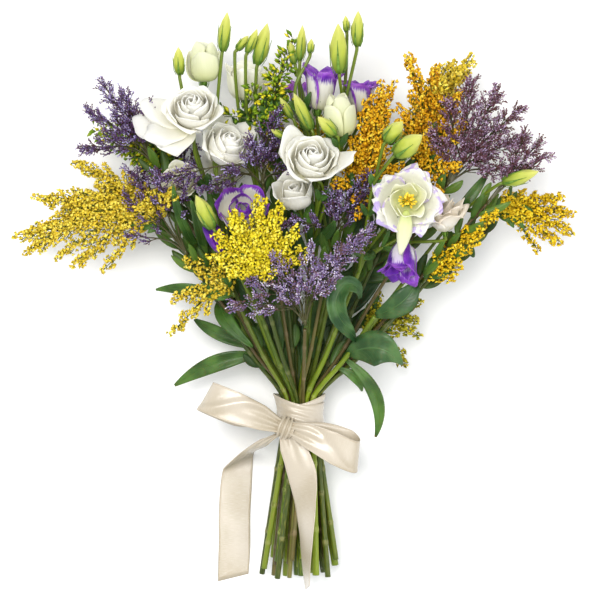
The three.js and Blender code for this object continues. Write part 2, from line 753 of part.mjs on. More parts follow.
function branchLine(plant, { end, arrive, ownBloom }, { start, leave }) {
  const long = start.distanceTo(end);
  const neck = end.clone().addScaledVector(arrive, -BRANCH_NECK);
  const curve = new THREE.CubicBezierCurve3(
    start,
    start.clone().addScaledVector(leave, long * 0.3),
    neck.clone().addScaledVector(arrive, -long * 0.3),
    neck,
  );
  const steps = long > 60 ? 4 : 3;
  const line = bentClear(curve.getPoints(steps), BRANCH_RADIUS, plant.name, ownBloom);
  line.push(end.clone());
  for (let i = 0; i + 1 < line.length; i += 1) {
    LAID.push({ owner: plant.name, from: line[i], to: line[i + 1], radius: BRANCH_RADIUS });
  }
  return line;
}

FLOWER_STEMS.forEach((plant) => {
  const ends = plant.blooms.map((name) => {
    const bloom = BLOOMS.find((one) => one.name === name);
    return { end: bloom.base, arrive: bloom.look, ownBloom: name, flare: RECEPTACLE_RADIUS };
  });
  (BUDS[plant.name] ?? []).forEach(({ base, tip, from }) => {
    const arrive = tip.clone().sub(base).normalize();
    ends.push({ end: base, arrive, ownBloom: null, flare: BRANCH_RADIUS, from });
  });
  plant.branches = [];
  ends.forEach((branch, i) => {
    const share = HIGHEST_JOINT - ((HIGHEST_JOINT - LOWEST_JOINT) * i) / Math.max(ends.length - 1, 1);
    const fork = branch.from && plant.branches.find((other) => other.ownBloom === branch.from);
    const line = branchLine(plant, branch, branchRoot(plant, share, fork));
    plant.branches.push({ ...branch, line });
  });
});

function branchSolid({ line, flare }) {
  const radii = line.map((_, i) => (i === line.length - 1 ? flare : BRANCH_RADIUS));
  return tube(line, radii, 3, { root: true });
}

// Leaves: root, tip, width, and how far the middle rises above the straight line between them
const LEAVES = {
  left_leafy_stem: [
    { root: [-36, -44, 40], tip: [-102, -68, 30], wide: 14, rise: [0, 6, 6] },
    { root: [-58, 2, 46], tip: [-117, 10, 40], wide: 10, rise: [0, 4, 6] },
    { root: [-40, -38, 41], tip: [-86, -14, 32], wide: 11, rise: [-4, 0, 3] },
    { root: [-78, 36, 52], tip: [-102, 96, 64], wide: 9, rise: [-4, 0, 6] },
    { root: [-78, 36, 52], tip: [-74, 86, 48], wide: 8, rise: [3, 0, -2] },
  ],
  right_leafy_stem: [
    { root: [37, -40, 65], tip: [82, -50, 84], wide: 29, rise: [2, 9, 16] },
    { root: [62, -8, 78], tip: [94, 22, 84], wide: 20, rise: [6, -4, 10] },
    { root: [52, -26, 70], tip: [36, 16, 96], wide: 13, rise: [8, 4, 6] },
    { root: [36, -44, 62], tip: [61, -109, 52], wide: 11, rise: [12, 2, 6] },
    { root: [30, -52, 60], tip: [50, -72, 52], wide: 8, rise: [4, 2, 6] },
  ],
  far_right_flower_stem: [
    { root: [118, 60, 66], tip: [151, 104, 70], wide: 9, rise: [2, 2, 5] },
    { root: [118, 60, 66], tip: [140, 36, 58], wide: 10, rise: [4, 0, 3] },
  ],
};

// The point of a plant's own stalk that is nearest to a wanted place
function onStalk(plant, wanted) {
  const points = [...stalkOf(plant).points];
  const [below, top] = points.slice(-2);
  points.splice(-1, 1, mix(below, top, HIGHEST_JOINT));
  const found = points.slice(1).map((point, i) => {
    return new THREE.Line3(points[i], point).closestPointToPoint(wanted, true, at(0, 0, 0));
  });
  return found.sort((a, b) => a.distanceTo(wanted) - b.distanceTo(wanted))[0];
}

function leafSolid(plant, { root, tip, wide, rise }) {
  const start = onStalk(plant, at(...root));
  const line = new THREE.QuadraticBezierCurve3(
    start,
    mix(start, at(...tip), 0.5).add(at(...rise).multiplyScalar(2)),
    at(...tip),
  );
  const place = (u, v) => {
    const point = line.getPoint(v);
    const along = line.getTangent(v);
    const across = along.clone().cross(UP).normalize();
    const half = (wide / 2) * (0.12 + 0.88 * Math.sin(Math.PI * Math.min(v * 0.93 + 0.04, 1)) ** 0.8);
    const fold = 0.24 * Math.abs(u) * half;
    return point.addScaledVector(across, u * half).add(at(0, 0, fold));
  };
  return blade(2, 5, LEAF_THICKNESS, place);
}

// Sprays

function armLine(spray, arm) {
  const { points } = stalkOf(spray);
  const leave = spray.top.clone().sub(points[points.length - 2]).normalize();
  const start = spray.top.clone().addScaledVector(leave, SEAT_GAP + 1);
  const long = start.distanceTo(arm.tip);
  const curve = new THREE.QuadraticBezierCurve3(
    start,
    start.clone().addScaledVector(leave, long * 0.4),
    arm.tip,
  );
  const line = curve.getPoints(2);
  return line.map((point, i) => (i === 0 ? point : pushedOut(point, ARM_RADIUS, spray.name)));
}

// The point and heading at a share of the way along a line's straight pieces
function alongLine(line, share) {
  const place = share * (line.length - 1);
  const piece = Math.min(Math.floor(place), line.length - 2);
  const along = line[piece + 1].clone().sub(line[piece]).normalize();
  return { point: mix(line[piece], line[piece + 1], place - piece), along };
}

// Tufts stand round an arm by the golden angle, the last one on its tip
function tufts(line, count, length, spread, random) {
  const turn = random() * 2 * Math.PI;
  const found = [];
  for (let i = 0; i < count; i += 1) {
    const last = i === count - 1;
    const share = last ? ARM_END : FIRST_TUFT + ((ARM_END - FIRST_TUFT) * i) / count;
    const { point, along } = alongLine(line, share);
    const side = along.clone().cross(UP).normalize();
    const face = side.clone().cross(along);
    const angle = turn + i * GOLDEN_ANGLE;
    const lean = last ? 0.06 : spread;
    const out = side.multiplyScalar(Math.cos(angle)).addScaledVector(face, Math.sin(angle) * 0.75);
    const heading = along.multiplyScalar(Math.cos(lean)).addScaledVector(out, Math.sin(lean)).normalize();
    const reach = length * (last ? 1.1 : 0.8 + 0.4 * random());
    const tip = point.clone().addScaledVector(heading, reach);
    const bow = mix(point, tip, 0.55).addScaledVector(UP, reach * 0.12);
    found.push({ root: point, bow, tip });
  }
  return found;
}

function blocked({ root, bow, tip }, radius) {
  return [0.35, 0.7, 1].some((share) => {
    const point = share < 0.55 ? mix(root, bow, share) : mix(bow, tip, share);
    return ROOM.some((room) => room.centre.distanceTo(point) < room.radius + radius);
  });
}

// A goldenrod branchlet: florets stand out of its skin in turn, row by row
function plumelet({ root, bow, tip }, radius) {
  const line = smoothLine([root, bow, tip], 3);
  const widths = [0, 1.05, 1.1, 0];
  const bump = (side, row) => ((side + row) % 2 === 0 ? 1.25 : 0.55);
  return tube(line, widths.map((w) => w * radius), 4, { tip: true, root: true }, bump);
}

// A sea lavender twig that ends in a cluster of florets
function cluster({ root, bow, tip }) {
  const heading = tip.clone().sub(bow).normalize();
  const wide = tip.clone().addScaledVector(heading, CLUSTER_LENGTH * 0.5);
  const end = tip.clone().addScaledVector(heading, CLUSTER_LENGTH);
  const bump = (side, row) => (row === 2 && side % 2 === 0 ? 1.35 : 1);
  const radii = [0, 0.8, CLUSTER_RADIUS * 0.75, 0];
  return tube([root, bow, wide, end], radii, 4, { tip: true, root: true }, bump);
}

function sprayParts(spray, seed, kind) {
  const random = randomFrom(seed);
  const { points } = stalkOf(spray);
  const leave = spray.top.clone().sub(points[points.length - 2]).normalize();
  const collar = [SEAT_GAP, SEAT_GAP + 5].map((up) => spray.top.clone().addScaledVector(leave, up));
  const core = [tube(collar, [1.5, 1.4], 4)];
  const extras = [];
  spray.arms.forEach((arm) => {
    const line = armLine(spray, arm);
    const [before, last] = line.slice(-2);
    const twig = [...line.slice(0, -1), mix(before, last, ARM_END)];
    const radii = twig.map((_, i) => 1.3 - (0.6 * i) / (twig.length - 1));
    core.push(tube(twig, radii, 3, { tip: true }));
    if (kind === 'goldenrod') {
      tufts(line, arm.tufts, PLUMELET_LENGTH, 0.75, random)
        .filter((tuft) => !blocked(tuft, PLUMELET_RADIUS))
        .forEach((tuft) => extras.push(plumelet(tuft, PLUMELET_RADIUS)));
    } else {
      tufts(line, arm.tufts, TWIG_LENGTH, 0.8, random)
        .filter((tuft) => !blocked(tuft, CLUSTER_RADIUS))
        .forEach((tuft) => extras.push(cluster(tuft)));
    }
  });
  return { core: fused(core), extras };
}

// Nodes

const bouquet = new THREE.Group();
const finished = [];

function addNode(name, solid, colour, roughness) {
  const material = new THREE.MeshStandardMaterial({ color: colour, roughness, metalness: 0 });
  const mesh = new THREE.Mesh(geometryOf(solid), material);
  mesh.name = name;
  bouquet.add(mesh);
  finished.push({ name, solid, box: solid.boundingBox() });
}

const apart = (a, b) =>
  [0, 1, 2].some((k) => a.min[k] > b.max[k] + CLEARANCE || b.min[k] > a.max[k] + CLEARANCE);

// Keeps a small piece only where it stays clear of every finished node
function isClear(solid) {
  const box = solid.boundingBox();
  return finished.every((other) => {
    return apart(box, other.box) || other.solid.minGap(solid, LEAST_GAP) >= LEAST_GAP;
  });
}

const BLOOM_COLOURS = {
  bloom_cream_tulip_left: '#e6e7b4',
  bloom_cream_tulip_right: '#e9e6b2',
  bloom_violet_folded: '#4a1c70',
  bloom_violet_nodding: '#8b52b8',
  bloom_violet_rim_tall: '#d9cbe8',
  bloom_violet_rim_small: '#c9b3e0',
  bloom_violet_rim_left: '#d6c6ea',
  bloom_withered: '#d8c9a8',
};

BLOOMS.forEach((bloom) => {
  addNode(bloom.name, bloomSolid(bloom), BLOOM_COLOURS[bloom.name] ?? '#f3f1ea', 0.6);
});

[...FLOWER_STEMS, ...LEAFY_STEMS].forEach((plant) => {
  const solids = [stalkSolid(plant)];
  (plant.branches ?? []).forEach((branch) => solids.push(branchSolid(branch)));
  (BUDS[plant.name] ?? []).forEach((bud) => solids.push(budSolid(bud)));
  (LEAVES[plant.name] ?? []).forEach((leaf) => solids.push(leafSolid(plant, leaf)));
  addNode(plant.name, fused(solids), '#5c7a2a', 0.7);
});

// The spray stems meet in the tie, all but the hindmost, which the flower stems part from the rest
const SPRAYS = [...GOLDENROD, ...SEA_LAVENDER];
const [backSprays, joinedSprays] = [true, false].map((atBack) =>
  SPRAYS.filter(({ name }) => (name === 'goldenrod_back') === atBack).map((spray) => stalkSolid(spray)),
);
addNode('spray_stems', fused(joinedSprays), '#6a8230', 0.75);
addNode('goldenrod_back_stem', fused(backSprays), '#6a8230', 0.75);

function addSpray(spray, seed, kind, colour) {
  const { core, extras } = sprayParts(spray, seed, kind);
  addNode(spray.name, fused([core, ...extras.filter(isClear)]), colour, 0.85);
}
GOLDENROD.forEach((spray, i) => addSpray(spray, 100 + i, 'goldenrod', '#dcb41c'));
SEA_LAVENDER.forEach((spray, i) => addSpray(spray, 200 + i, 'sea_lavender', '#6b4f8f'));

// The satin ribbon: a wrap that narrows in its middle, a knot, two loops and two tails.
// Each station of a strip gives its middle, the direction across it, and its width.
const WRAP_SECTION = [[2.2, -13], [0, -8], [0, 8], [3.2, 13]];
const KNOT = { middle: [-12, -101, 63], size: [10.5, 9.5, 6.5] };
const LEFT_LOOP = [
  [[-12, -101, 65], [0.1, 1, 0], 9],
  [[-30, -93, 71], [0.25, 0.97, 0], 20],
  [[-54, -84, 74], [0.42, 0.9, 0], RIBBON_WIDTH],
  [[-72, -77, 69], [0.5, 0.86, 0], RIBBON_WIDTH],
  [[-76, -76, 61], [0.5, 0.86, 0], RIBBON_WIDTH],
  [[-68, -80, 54], [0.48, 0.87, 0], RIBBON_WIDTH],
  [[-48, -89, 54], [0.4, 0.9, 0], 24],
  [[-28, -94, 58], [0.25, 0.97, 0], 16],
  [[-12, -101, 61], [0.1, 1, 0], 9],
];
const RIGHT_LOOP = [
  [[-12, -101, 65], [0.1, 1, 0], 9],
  [[5, -107, 73], [0.1, 1, 0], 20],
  [[27, -117, 77], [0.2, 0.97, 0.1], 26],
  [[43, -124, 73], [0.14, 0.98, 0.1], RIBBON_WIDTH],
  [[47, -123, 65], [0.08, 0.98, 0.1], RIBBON_WIDTH],
  [[40, -116, 59], [0.14, 0.98, 0.1], RIBBON_WIDTH],
  [[19, -107, 61], [0.1, 1, 0], 20],
  [[-12, -101, 62], [0.1, 1, 0], 9],
];
const TAIL_FLAT = RIBBON_THICKNESS / 2;
const LEFT_TAIL = [
  [[-12, -103, 61], [0.9, 0.4, 0], 12],
  [[-26, -112, 57], [0.75, -0.35, 0.56], 20],
  [[-38, -122, 40], [0.75, -0.35, 0.56], 24],
  [[-47, -134, 18], [0.92, -0.1, 0.38], 26],
  [[-52, -148, 4], [1, 0, 0.1], RIBBON_WIDTH],
  [[-53, -160, TAIL_FLAT], [1, 0, 0], RIBBON_WIDTH],
  [[-54, -175, TAIL_FLAT], [1, 0, 0], RIBBON_WIDTH],
  [[-54, -200, TAIL_FLAT], [1, 0, 0], RIBBON_WIDTH],
  [[-55, -227, TAIL_FLAT], [0.97, 0.24, 0], RIBBON_WIDTH],
];
const MIDDLE_TAIL = [
  [[-11, -104, 64], [1, 0.3, 0], 12],
  [[-5, -118, 64], [1, 0.1, 0.1], 22],
  [[1, -136, 64], [0.93, 0, 0.37], RIBBON_WIDTH],
  [[4, -160, 65], [0.66, 0, 0.75], RIBBON_WIDTH],
  [[5, -186, 65], [0.42, 0, 0.91], RIBBON_WIDTH],
  [[5, -212, 63], [0.25, 0, 0.97], RIBBON_WIDTH],
  [[6, -230, 62], [0.12, 0.2, 0.97], RIBBON_WIDTH],
];

function strip(stations) {
  const last = stations.length - 1;
  const place = (u, v) => {
    const share = v * last;
    const i = Math.min(Math.floor(share), last - 1);
    const [[middleA, acrossA, wideA], [middleB, acrossB, wideB]] = [stations[i], stations[i + 1]];
    const middle = mix(at(...middleA), at(...middleB), share - i);
    const across = mix(at(...acrossA).normalize(), at(...acrossB).normalize(), share - i).normalize();
    const wide = THREE.MathUtils.lerp(wideA, wideB, share - i);
    return middle.addScaledVector(across, (u * wide) / 2);
  };
  return blade(1, last, RIBBON_THICKNESS, place, true);
}

function wrap() {
  const inner = WRAP_SECTION.map(([flare, y]) => new THREE.Vector2(WRAP_RADIUS + flare, y));
  const outer = inner.map((point) => new THREE.Vector2(point.x + RIBBON_THICKNESS, point.y));
  const profile = [...outer, ...inner.reverse(), outer[0].clone()];
  const geometry = new THREE.LatheGeometry(profile, 16);
  geometry.translate(0, TIE_Y, TIE_HEIGHT);
  return solidOf(geometry);
}

function knot() {
  const geometry = new THREE.SphereGeometry(1, 8, 5);
  geometry.scale(...KNOT.size);
  geometry.translate(...KNOT.middle);
  return solidOf(geometry);
}

const ribbon = fused([wrap(), knot(), ...[LEFT_LOOP, RIGHT_LOOP, LEFT_TAIL, MIDDLE_TAIL].map(strip)]);
addNode('satin_ribbon', ribbon, '#e9dec9', 0.35);

// The origin is on the table under the middle of the whole
const reach = new THREE.Box3().setFromObject(bouquet);
const middle = reach.getCenter(at(0, 0, 0));
bouquet.position.set(-middle.x, -middle.y, -reach.min.z);

export default bouquet;
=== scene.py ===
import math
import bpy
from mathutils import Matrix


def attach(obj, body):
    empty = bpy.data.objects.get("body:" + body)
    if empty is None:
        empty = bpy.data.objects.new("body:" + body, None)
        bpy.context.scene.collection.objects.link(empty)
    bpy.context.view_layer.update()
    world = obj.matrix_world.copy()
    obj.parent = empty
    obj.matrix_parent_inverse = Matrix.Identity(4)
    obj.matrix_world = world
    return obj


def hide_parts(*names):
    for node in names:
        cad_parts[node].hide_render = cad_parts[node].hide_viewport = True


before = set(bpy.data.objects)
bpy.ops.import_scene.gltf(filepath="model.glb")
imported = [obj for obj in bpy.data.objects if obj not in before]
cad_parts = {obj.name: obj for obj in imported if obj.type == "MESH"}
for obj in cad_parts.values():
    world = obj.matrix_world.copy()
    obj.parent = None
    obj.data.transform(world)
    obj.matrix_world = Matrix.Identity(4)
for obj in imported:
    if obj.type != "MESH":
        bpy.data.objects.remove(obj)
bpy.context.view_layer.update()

# A hand-tied bouquet of lisianthus, goldenrod and sea lavender with a satin bow, lying on its back.
# The layout is in millimetres and repeats the rules of the CAD model: +Y runs along the stems
# towards the flowers and +Z points up from the table. Pieces are moved into the frame, in metres,
# when they are made.
from types import SimpleNamespace

import bpy
import numpy as np
from mathutils import Vector

MM = 0.001
# The layout's own origin, as seen from the origin of the frame
SHIFT = np.array([-0.219, 0.833, 0.0])

# The bundle: where it is tied, the stems' places in the tie, how they fan out to their cut ends,
# and how unevenly they are cut, as a share of their length
TIE_Y = -90
TIE_HEIGHT = 42
TIE_BELOW = 9
TIE_ABOVE = 12
STEM_PITCH = 5.2
BUNDLE_TWIST = math.radians(24)
CUT_Y = -216
CUT_HEIGHT = 24.4
CUT_SPREAD = (2.2, 1.55)
CUT_UNEVEN = 0.07
# Stems above the tie: where along y they are kept apart, how far, their radii, how near the table
# they may come, and how long their top piece is at least
STEM_LEVELS = [-44, 6, 56, 100]
STEM_PASSES = 80
STEM_SPACING = 1.22
CLEARANCE = 0.7
STEM_LOW_RADIUS = 2.2
STEM_TOP_RADIUS = 1.7
STEM_LOWEST = 4
TOP_PIECE = 14
# Branches leave the last piece of their stem between these shares of it, and end in a straight neck
HIGHEST_JOINT = 0.93
LOWEST_JOINT = 0.43
BRANCH_RADIUS = 1.15
BRANCH_NECK = 3
BRANCH_PASSES = 50
# The arms of sprays and the tips of narrow leaves keep so far out of the room of others
ARM_ROOM = 2
# How far blooms and arms sit off their stem, and petals above that
SEAT_GAP = 0.5
PETAL_LIFT = 1.3
# Side shoots of goldenrod and spikes of sea lavender
PLUMELET_RADIUS = 3.7
CLUSTER_LENGTH = 11
# The ribbon
RIBBON_WIDTH = 26
WRAP_RADIUS = 17.7
# Angles and directions
TURN = 2 * math.pi
# A turn as the random phases take it
ROUGH_TURN = 6.28
GOLDEN_ANGLE = math.pi * (3 - math.sqrt(5))
UP = np.array([0.0, 0.0, 1.0])


# Small vector helpers

def vec(*xyz):
    return np.array(xyz, dtype=float)


def unit(vector):
    return vector / max(math.sqrt(float(vector @ vector)), 1e-12)


def size(vector):
    return math.sqrt(float(vector @ vector))


def units(vectors):
    return vectors / np.maximum(np.linalg.norm(vectors, axis=-1, keepdims=True), 1e-9)


def mix(a, b, t):
    return a + (b - a) * t


def around(right, up, angle):
    """The direction at an angle between two others that are at right angles."""
    return right * math.cos(angle) + up * math.sin(angle)


def right_and_up(look):
    """Two directions at right angles to look."""
    reference = vec(0, 1, 0) if abs(look[1]) < 0.9 else UP
    right = unit(np.cross(reference, look))
    return right, np.cross(look, right)


def lengths_along(line):
    """How far along a line each of its points is."""
    steps = np.linalg.norm(np.diff(line, axis=0), axis=1)
    return np.concatenate([[0], np.cumsum(steps)])


def resampled(values, at, wanted):
    """Rows of three numbers that are known at some places, read off at others."""
    return np.stack([np.interp(wanted, at, values[:, k]) for k in range(3)], axis=1)


def row_at(v, rows):
    """The nearest of the rows that run from v = 0 to v = 1."""
    return np.clip(np.round(v * rows).astype(int), 0, rows)


def smoothstep(low, high, value):
    t = np.clip((value - low) / (high - low), 0, 1)
    return t * t * (3 - 2 * t)


# The same repeatable stream of numbers from 0 to 1 as the CAD model draws
WORD = 0xFFFFFFFF
GOLDENROD_SEED = 100
SEA_LAVENDER_SEED = 200
BLOOM_SEED = 300
STEM_LEAF_SEED = 500


def random_from(seed):
    state = seed & WORD

    def draw():
        nonlocal state
        state = (state + 0x6D2B79F5) & WORD
        t = state
        t = ((t ^ (t >> 15)) * (t | 1)) & WORD
        t ^= (t + (((t ^ (t >> 7)) * (t | 61)) & WORD)) & WORD
        return ((t ^ (t >> 14)) & WORD) / (WORD + 1)

    return draw


# Layout: blooms, buds, stems, sprays and leaves

def bloom(name, kind, base, look, wide, high, petal="white"):
    return SimpleNamespace(name=name, kind=kind, base=vec(*base), look=unit(vec(*look)),
                           wide=wide, high=high, petal=petal)


BLOOMS = [
    bloom("bloom_cream_tulip_left", "tulip", (-77, 172, 70), (0, 1, 0.1), 27, 36, "cream"),
    # Cream white petals, made lighter as painted light for blooms that lie in shade
    bloom("bloom_white_cup_top", "plain", (-44, 160, 48), (0.05, 1, 0.3), 36, 34, "creamy"),
    bloom("bloom_white_rose_left", "rose", (-84, 142, 101), (-0.05, 0.6, 0.8), 46, 28),
    # Lighter petals for this rose: painted light, as it lies in the shade of the left rose
    bloom("bloom_white_rose_middle", "rose", (-65, 115, 76), (0.42, 0.6, 0.68), 43, 28, "warm"),
    bloom("bloom_white_half_hidden", "plain", (-92, 95, 70), (-0.2, 0.15, 0.97), 28, 23, "creamy"),
    bloom("bloom_white_rose_front", "rose", (8, 103, 114), (0.08, 0.55, 0.83), 44, 28),
    bloom("bloom_white_cup_front", "cup", (-1, 76, 92), (-0.2, 0.7, 0.68), 33, 27),
    bloom("bloom_cream_tulip_right", "tulip", (33, 126, 107), (-0.08, 1, 0.12), 24, 38, "cream"),
    bloom("bloom_violet_rim_tall", "bell", (14, 148, 88), (0.12, 1, 0.22), 31, 41, "rimmed"),
    bloom("bloom_violet_rim_small", "bell", (48, 146, 78), (0.03, 1, 0.2), 27, 32, "rimmed"),
    bloom("bloom_lilac_open", "open", (84, 79, 116), (0.02, 0.06, 1), 52, 22, "spotted"),
    bloom("bloom_withered", "tulip", (115, 52, 100), (-0.1, 1, 0.35), 15, 34, "withered"),
    bloom("bloom_violet_nodding", "bell", (84, 50, 98), (-0.2, -0.92, 0.36), 31, 34, "nodding"),
    bloom("bloom_violet_rim_left", "cup", (-46, 64, 86), (0.05, 0.5, 0.86), 40, 27, "margined"),
    bloom("bloom_violet_folded", "tulip", (-58, 36, 88), (-0.5, 0.86, 0.05), 15, 33, "folded"),
    bloom("bloom_back_left", "plain", (-58, 110, 30.75), (-0.1, 0.25, -0.96), 40, 26),
    bloom("bloom_back_right", "plain", (66, 98, 30.45), (0.12, 0.2, -0.97), 40, 26),
    bloom("bloom_back_top", "bell", (4, 140, 44), (0.05, 0.95, -0.3), 31, 38, "rimmed"),
]
BLOOM_OF = {one.name: one for one in BLOOMS}


def bud(base, tip, wide, fork=None):
    """fork is the bloom whose branch this bud's branch leaves."""
    return SimpleNamespace(base=vec(*base), tip=vec(*tip), wide=wide, fork=fork)


def plant(name, top, blooms=(), buds=(), leaves=()):
    """A leaf is the point near its stem where it starts, its tip, its width and its rise between
    them."""
    return SimpleNamespace(name=name, top=vec(*top), blooms=list(blooms), buds=buds, leaves=leaves,
                           branches=[])


FLOWER_STEMS = [
    plant("left_flower_stem", (-66, 64, 70),
          ["bloom_white_rose_left", "bloom_white_rose_middle", "bloom_white_half_hidden"],
          [bud((-62, 200, 82), (-58, 231, 84), 10), bud((-96, 181, 84), (-97, 203, 86), 9)]),
    plant("top_left_flower_stem", (-38, 104, 54), ["bloom_cream_tulip_left", "bloom_white_cup_top"], [
        bud((-50, 201, 86), (-41, 212, 88), 6.5),
        bud((-42, 198, 90), (-34, 217, 92), 7),
        bud((-34, 189, 84), (-26, 222, 86), 12),
    ]),
    plant("middle_flower_stem", (8, 48, 84),
          ["bloom_white_rose_front", "bloom_white_cup_front", "bloom_cream_tulip_right"], [
              bud((9, 136, 110), (-5, 165, 106), 10),
              bud((-6, 146, 98), (-16, 162, 98), 6.5),
              bud((28, 131, 126), (14, 145, 131), 10, fork="bloom_cream_tulip_right"),
              bud((-12, 130, 110), (-23, 136, 112), 5.5),
          ], [
              ((8, 44, 84), (27, 64, 122), 9, (4, 0, 2)),
              ((8, 36, 82), (-3, 62, 119), 6, (-3, 0, 2)),
              ((8, 36, 82), (-14, 60, 117), 6, (-4, 0, 2)),
              ((6, 30, 82), (-16, 46, 116), 6, (-4, 0, 2)),
              ((6, 30, 82), (4, 44, 116), 6, (3, 0, 2)),
              ((8, 40, 82), (6, 70, 118), 5, (1, 0, 3)),
          ]),
    plant("top_flower_stem", (20, 100, 70), ["bloom_violet_rim_tall", "bloom_violet_rim_small"], [
        bud((0, 192, 90), (2, 220, 92), 8),
        bud((-4, 190, 79), (-8, 208, 78), 7),
        bud((8, 197, 104), (9, 208, 106), 5.5),
        bud((31, 180, 114), (30, 219, 116), 14),
        bud((45, 202, 104), (46, 230, 106), 10),
        bud((37, 214, 100), (36, 227, 100), 5.5),
    ]),
    plant("right_flower_stem", (56, 46, 92),
          ["bloom_lilac_open", "bloom_withered", "bloom_violet_nodding"],
          [bud((67, 125, 132), (80, 141, 134), 14), bud((74, 114, 138), (95, 130, 142), 16)],
          [((52, 36, 88), (40, 52, 122), 9, (-4, 0, 3)), ((54, 40, 90), (50, 34, 121), 8, (4, 0, 4))]),
    plant("left_front_flower_stem", (-42, 20, 82), ["bloom_violet_rim_left", "bloom_violet_folded"],
          [bud((-68, 58, 114), (-82, 84, 115), 13)]),
    plant("far_right_flower_stem", (118, 60, 66), [],
          [bud((160, 94, 108), (188, 103, 112), 11)],
          [((118, 60, 66), (151, 104, 70), 9, (2, 2, 5)),
           ((118, 60, 66), (140, 36, 58), 10, (4, 0, 3))]),
    plant("back_left_flower_stem", (-44, 62, 36), ["bloom_back_left"], leaves=[
        ((-8, -62, 36), (-52, -4, 30), 15, (-3, 0, -3)),
        ((-8, -64, 36), (-34, 2, 24), 17, (-2, 0, -3)),
        ((-6, -62, 36), (-12, 12, 24), 16, (0, 0, -3)),
        ((-24, -10, 36), (-72, 36, 30), 16, (-2, 0, -2)),
        ((-30, 10, 36), (-64, 68, 34), 16, (-4, 0, -2)),
        ((-34, 30, 36), (-20, 84, 30), 15, (3, 0, -2)),
        ((-10, -40, 36), (-22, 24, 28), 14, (0, 0, -3)),
    ]),
    plant("back_right_flower_stem", (34, 62, 40), ["bloom_back_right", "bloom_back_top"], leaves=[
        ((4, -64, 36), (8, 8, 24), 17, (1, 0, -3)),
        ((6, -64, 36), (26, 4, 26), 16, (2, 0, -3)),
        ((6, -60, 36), (48, -10, 30), 15, (3, 0, -3)),
        ((2, -74, 36), (-2, -20, 27), 14, (0, 0, -3)),
        ((14, -20, 36), (70, 24, 36), 16, (3, 0, -2)),
        ((20, 10, 38), (84, 50, 40), 16, (4, 0, -2)),
        ((26, 30, 38), (58, 84, 42), 16, (3, 0, -2)),
        ((26, 30, 38), (20, 92, 40), 15, (-3, 0, -2)),
        ((22, 20, 38), (100, 26, 52), 15, (4, 0, -2)),
        ((6, -40, 36), (16, 26, 28), 14, (0, 0, -3)),
    ]),
]
LEAFY_STEMS = [
    plant("left_leafy_stem", (-78, 36, 52), leaves=[
        ((-36, -44, 40), (-102, -68, 30), 14, (0, 6, 6)),
        ((-58, 2, 46), (-117, 10, 40), 10, (0, 4, 6)),
        ((-40, -38, 41), (-86, -14, 32), 11, (-4, 0, 3)),
        ((-78, 36, 52), (-100, 92, 112), 8, (-5, 0, 2)),
        ((-78, 36, 52), (-86, 80, 118), 9, (2, 0, 4)),
        ((-78, 36, 52), (-74, 92, 104), 7, (5, 0, 0)),
        ((-60, 4, 46), (-38, -36, 74), 13, (-12, 4, 4)),
    ]),
    plant("right_leafy_stem", (62, -8, 78), leaves=[
        ((37, -40, 65), (82, -50, 84), 29, (2, 9, 16)),
        ((62, -8, 78), (94, 22, 84), 20, (6, -4, 10)),
        ((36, -44, 62), (61, -109, 52), 11, (12, 2, 6)),
        ((30, -52, 60), (50, -72, 52), 8, (4, 2, 6)),
    ]),
]


def spray(name, look, top, tips, more=()):
    """tips are the ends of the arms, and more those of short further arms that close gaps between
    two sprays."""
    return SimpleNamespace(name=name, look=look, top=vec(*top), tips=[vec(*tip) for tip in tips],
                           more=[vec(*tip) for tip in more])


# The look of a goldenrod: its florets, how close its side shoots stand, and how far they reach
GOLDENROD = [
    spray("goldenrod_left_plume", ("yellow", 1.25, 24), (-108, 62, 66),
          [(-219, 55, 58), (-172, 108, 70), (-190, 40, 64), (-152, 32, 62)],
          [(-180, 76, 64), (-196, 60, 60), (-104, 84, 96), (-122, 76, 90)]),
    spray("goldenrod_upper_left", ("unopened", 0.9, 22), (-100, 96, 48),
          [(-158, 136, 42), (-118, 132, 44)]),
    spray("goldenrod_top", ("unopened", 0.62, 17), (-22, 132, 78),
          [(-20, 178, 88), (-6, 205, 70), (-50, 148, 82)]),
    spray("goldenrod_front_left", ("lemon", 1.6, 22), (-30, 12, 108),
          [(-34, 70, 120), (-60, 48, 116), (-8, 50, 122)],
          [(-50, 64, 117), (-18, 68, 121), (-6, 34, 118), (-60, 32, 108), (-32, 46, 128)]),
    spray("goldenrod_low_left", ("yellow", 1.2, 18), (-52, 4, 76), [(-98, -20, 70), (-84, 30, 74)]),
    spray("goldenrod_orange_middle", ("orange", 1.25, 19), (42, 84, 92),
          [(53, 152, 104), (70, 166, 96), (62, 118, 112)],
          [(74, 136, 100), (72, 104, 106), (40, 112, 110), (32, 92, 104), (46, 74, 106)]),
    spray("goldenrod_orange_right", ("orange", 1.25, 19), (92, 98, 86),
          [(88, 190, 92), (124, 160, 94), (120, 108, 104)],
          [(84, 146, 100), (98, 122, 104), (106, 92, 100)]),
    spray("goldenrod_upper_right", ("yellow", 1.1, 22), (92, 132, 56),
          [(132, 188, 54), (108, 178, 62)], [(112, 170, 98), (126, 180, 84)]),
    spray("goldenrod_right_plume", ("ochre", 1.3, 18), (152, 68, 62),
          [(211, 60, 58), (206, 84, 66), (190, 44, 60)]),
    spray("goldenrod_low_right", ("ochre", 0.75, 22), (98, 16, 78), [(150, 66, 98), (118, 30, 88)]),
    spray("goldenrod_olive", ("olive", 1.2, 16), (46, -22, 36),
          [(92, 0, 40), (82, -46, 34)], [(88, -14, 46)]),
    spray("goldenrod_back", ("yellow", 0.9, 25), (-8, 92, 26), [(-22, 150, 16), (34, 150, 18)]),
]
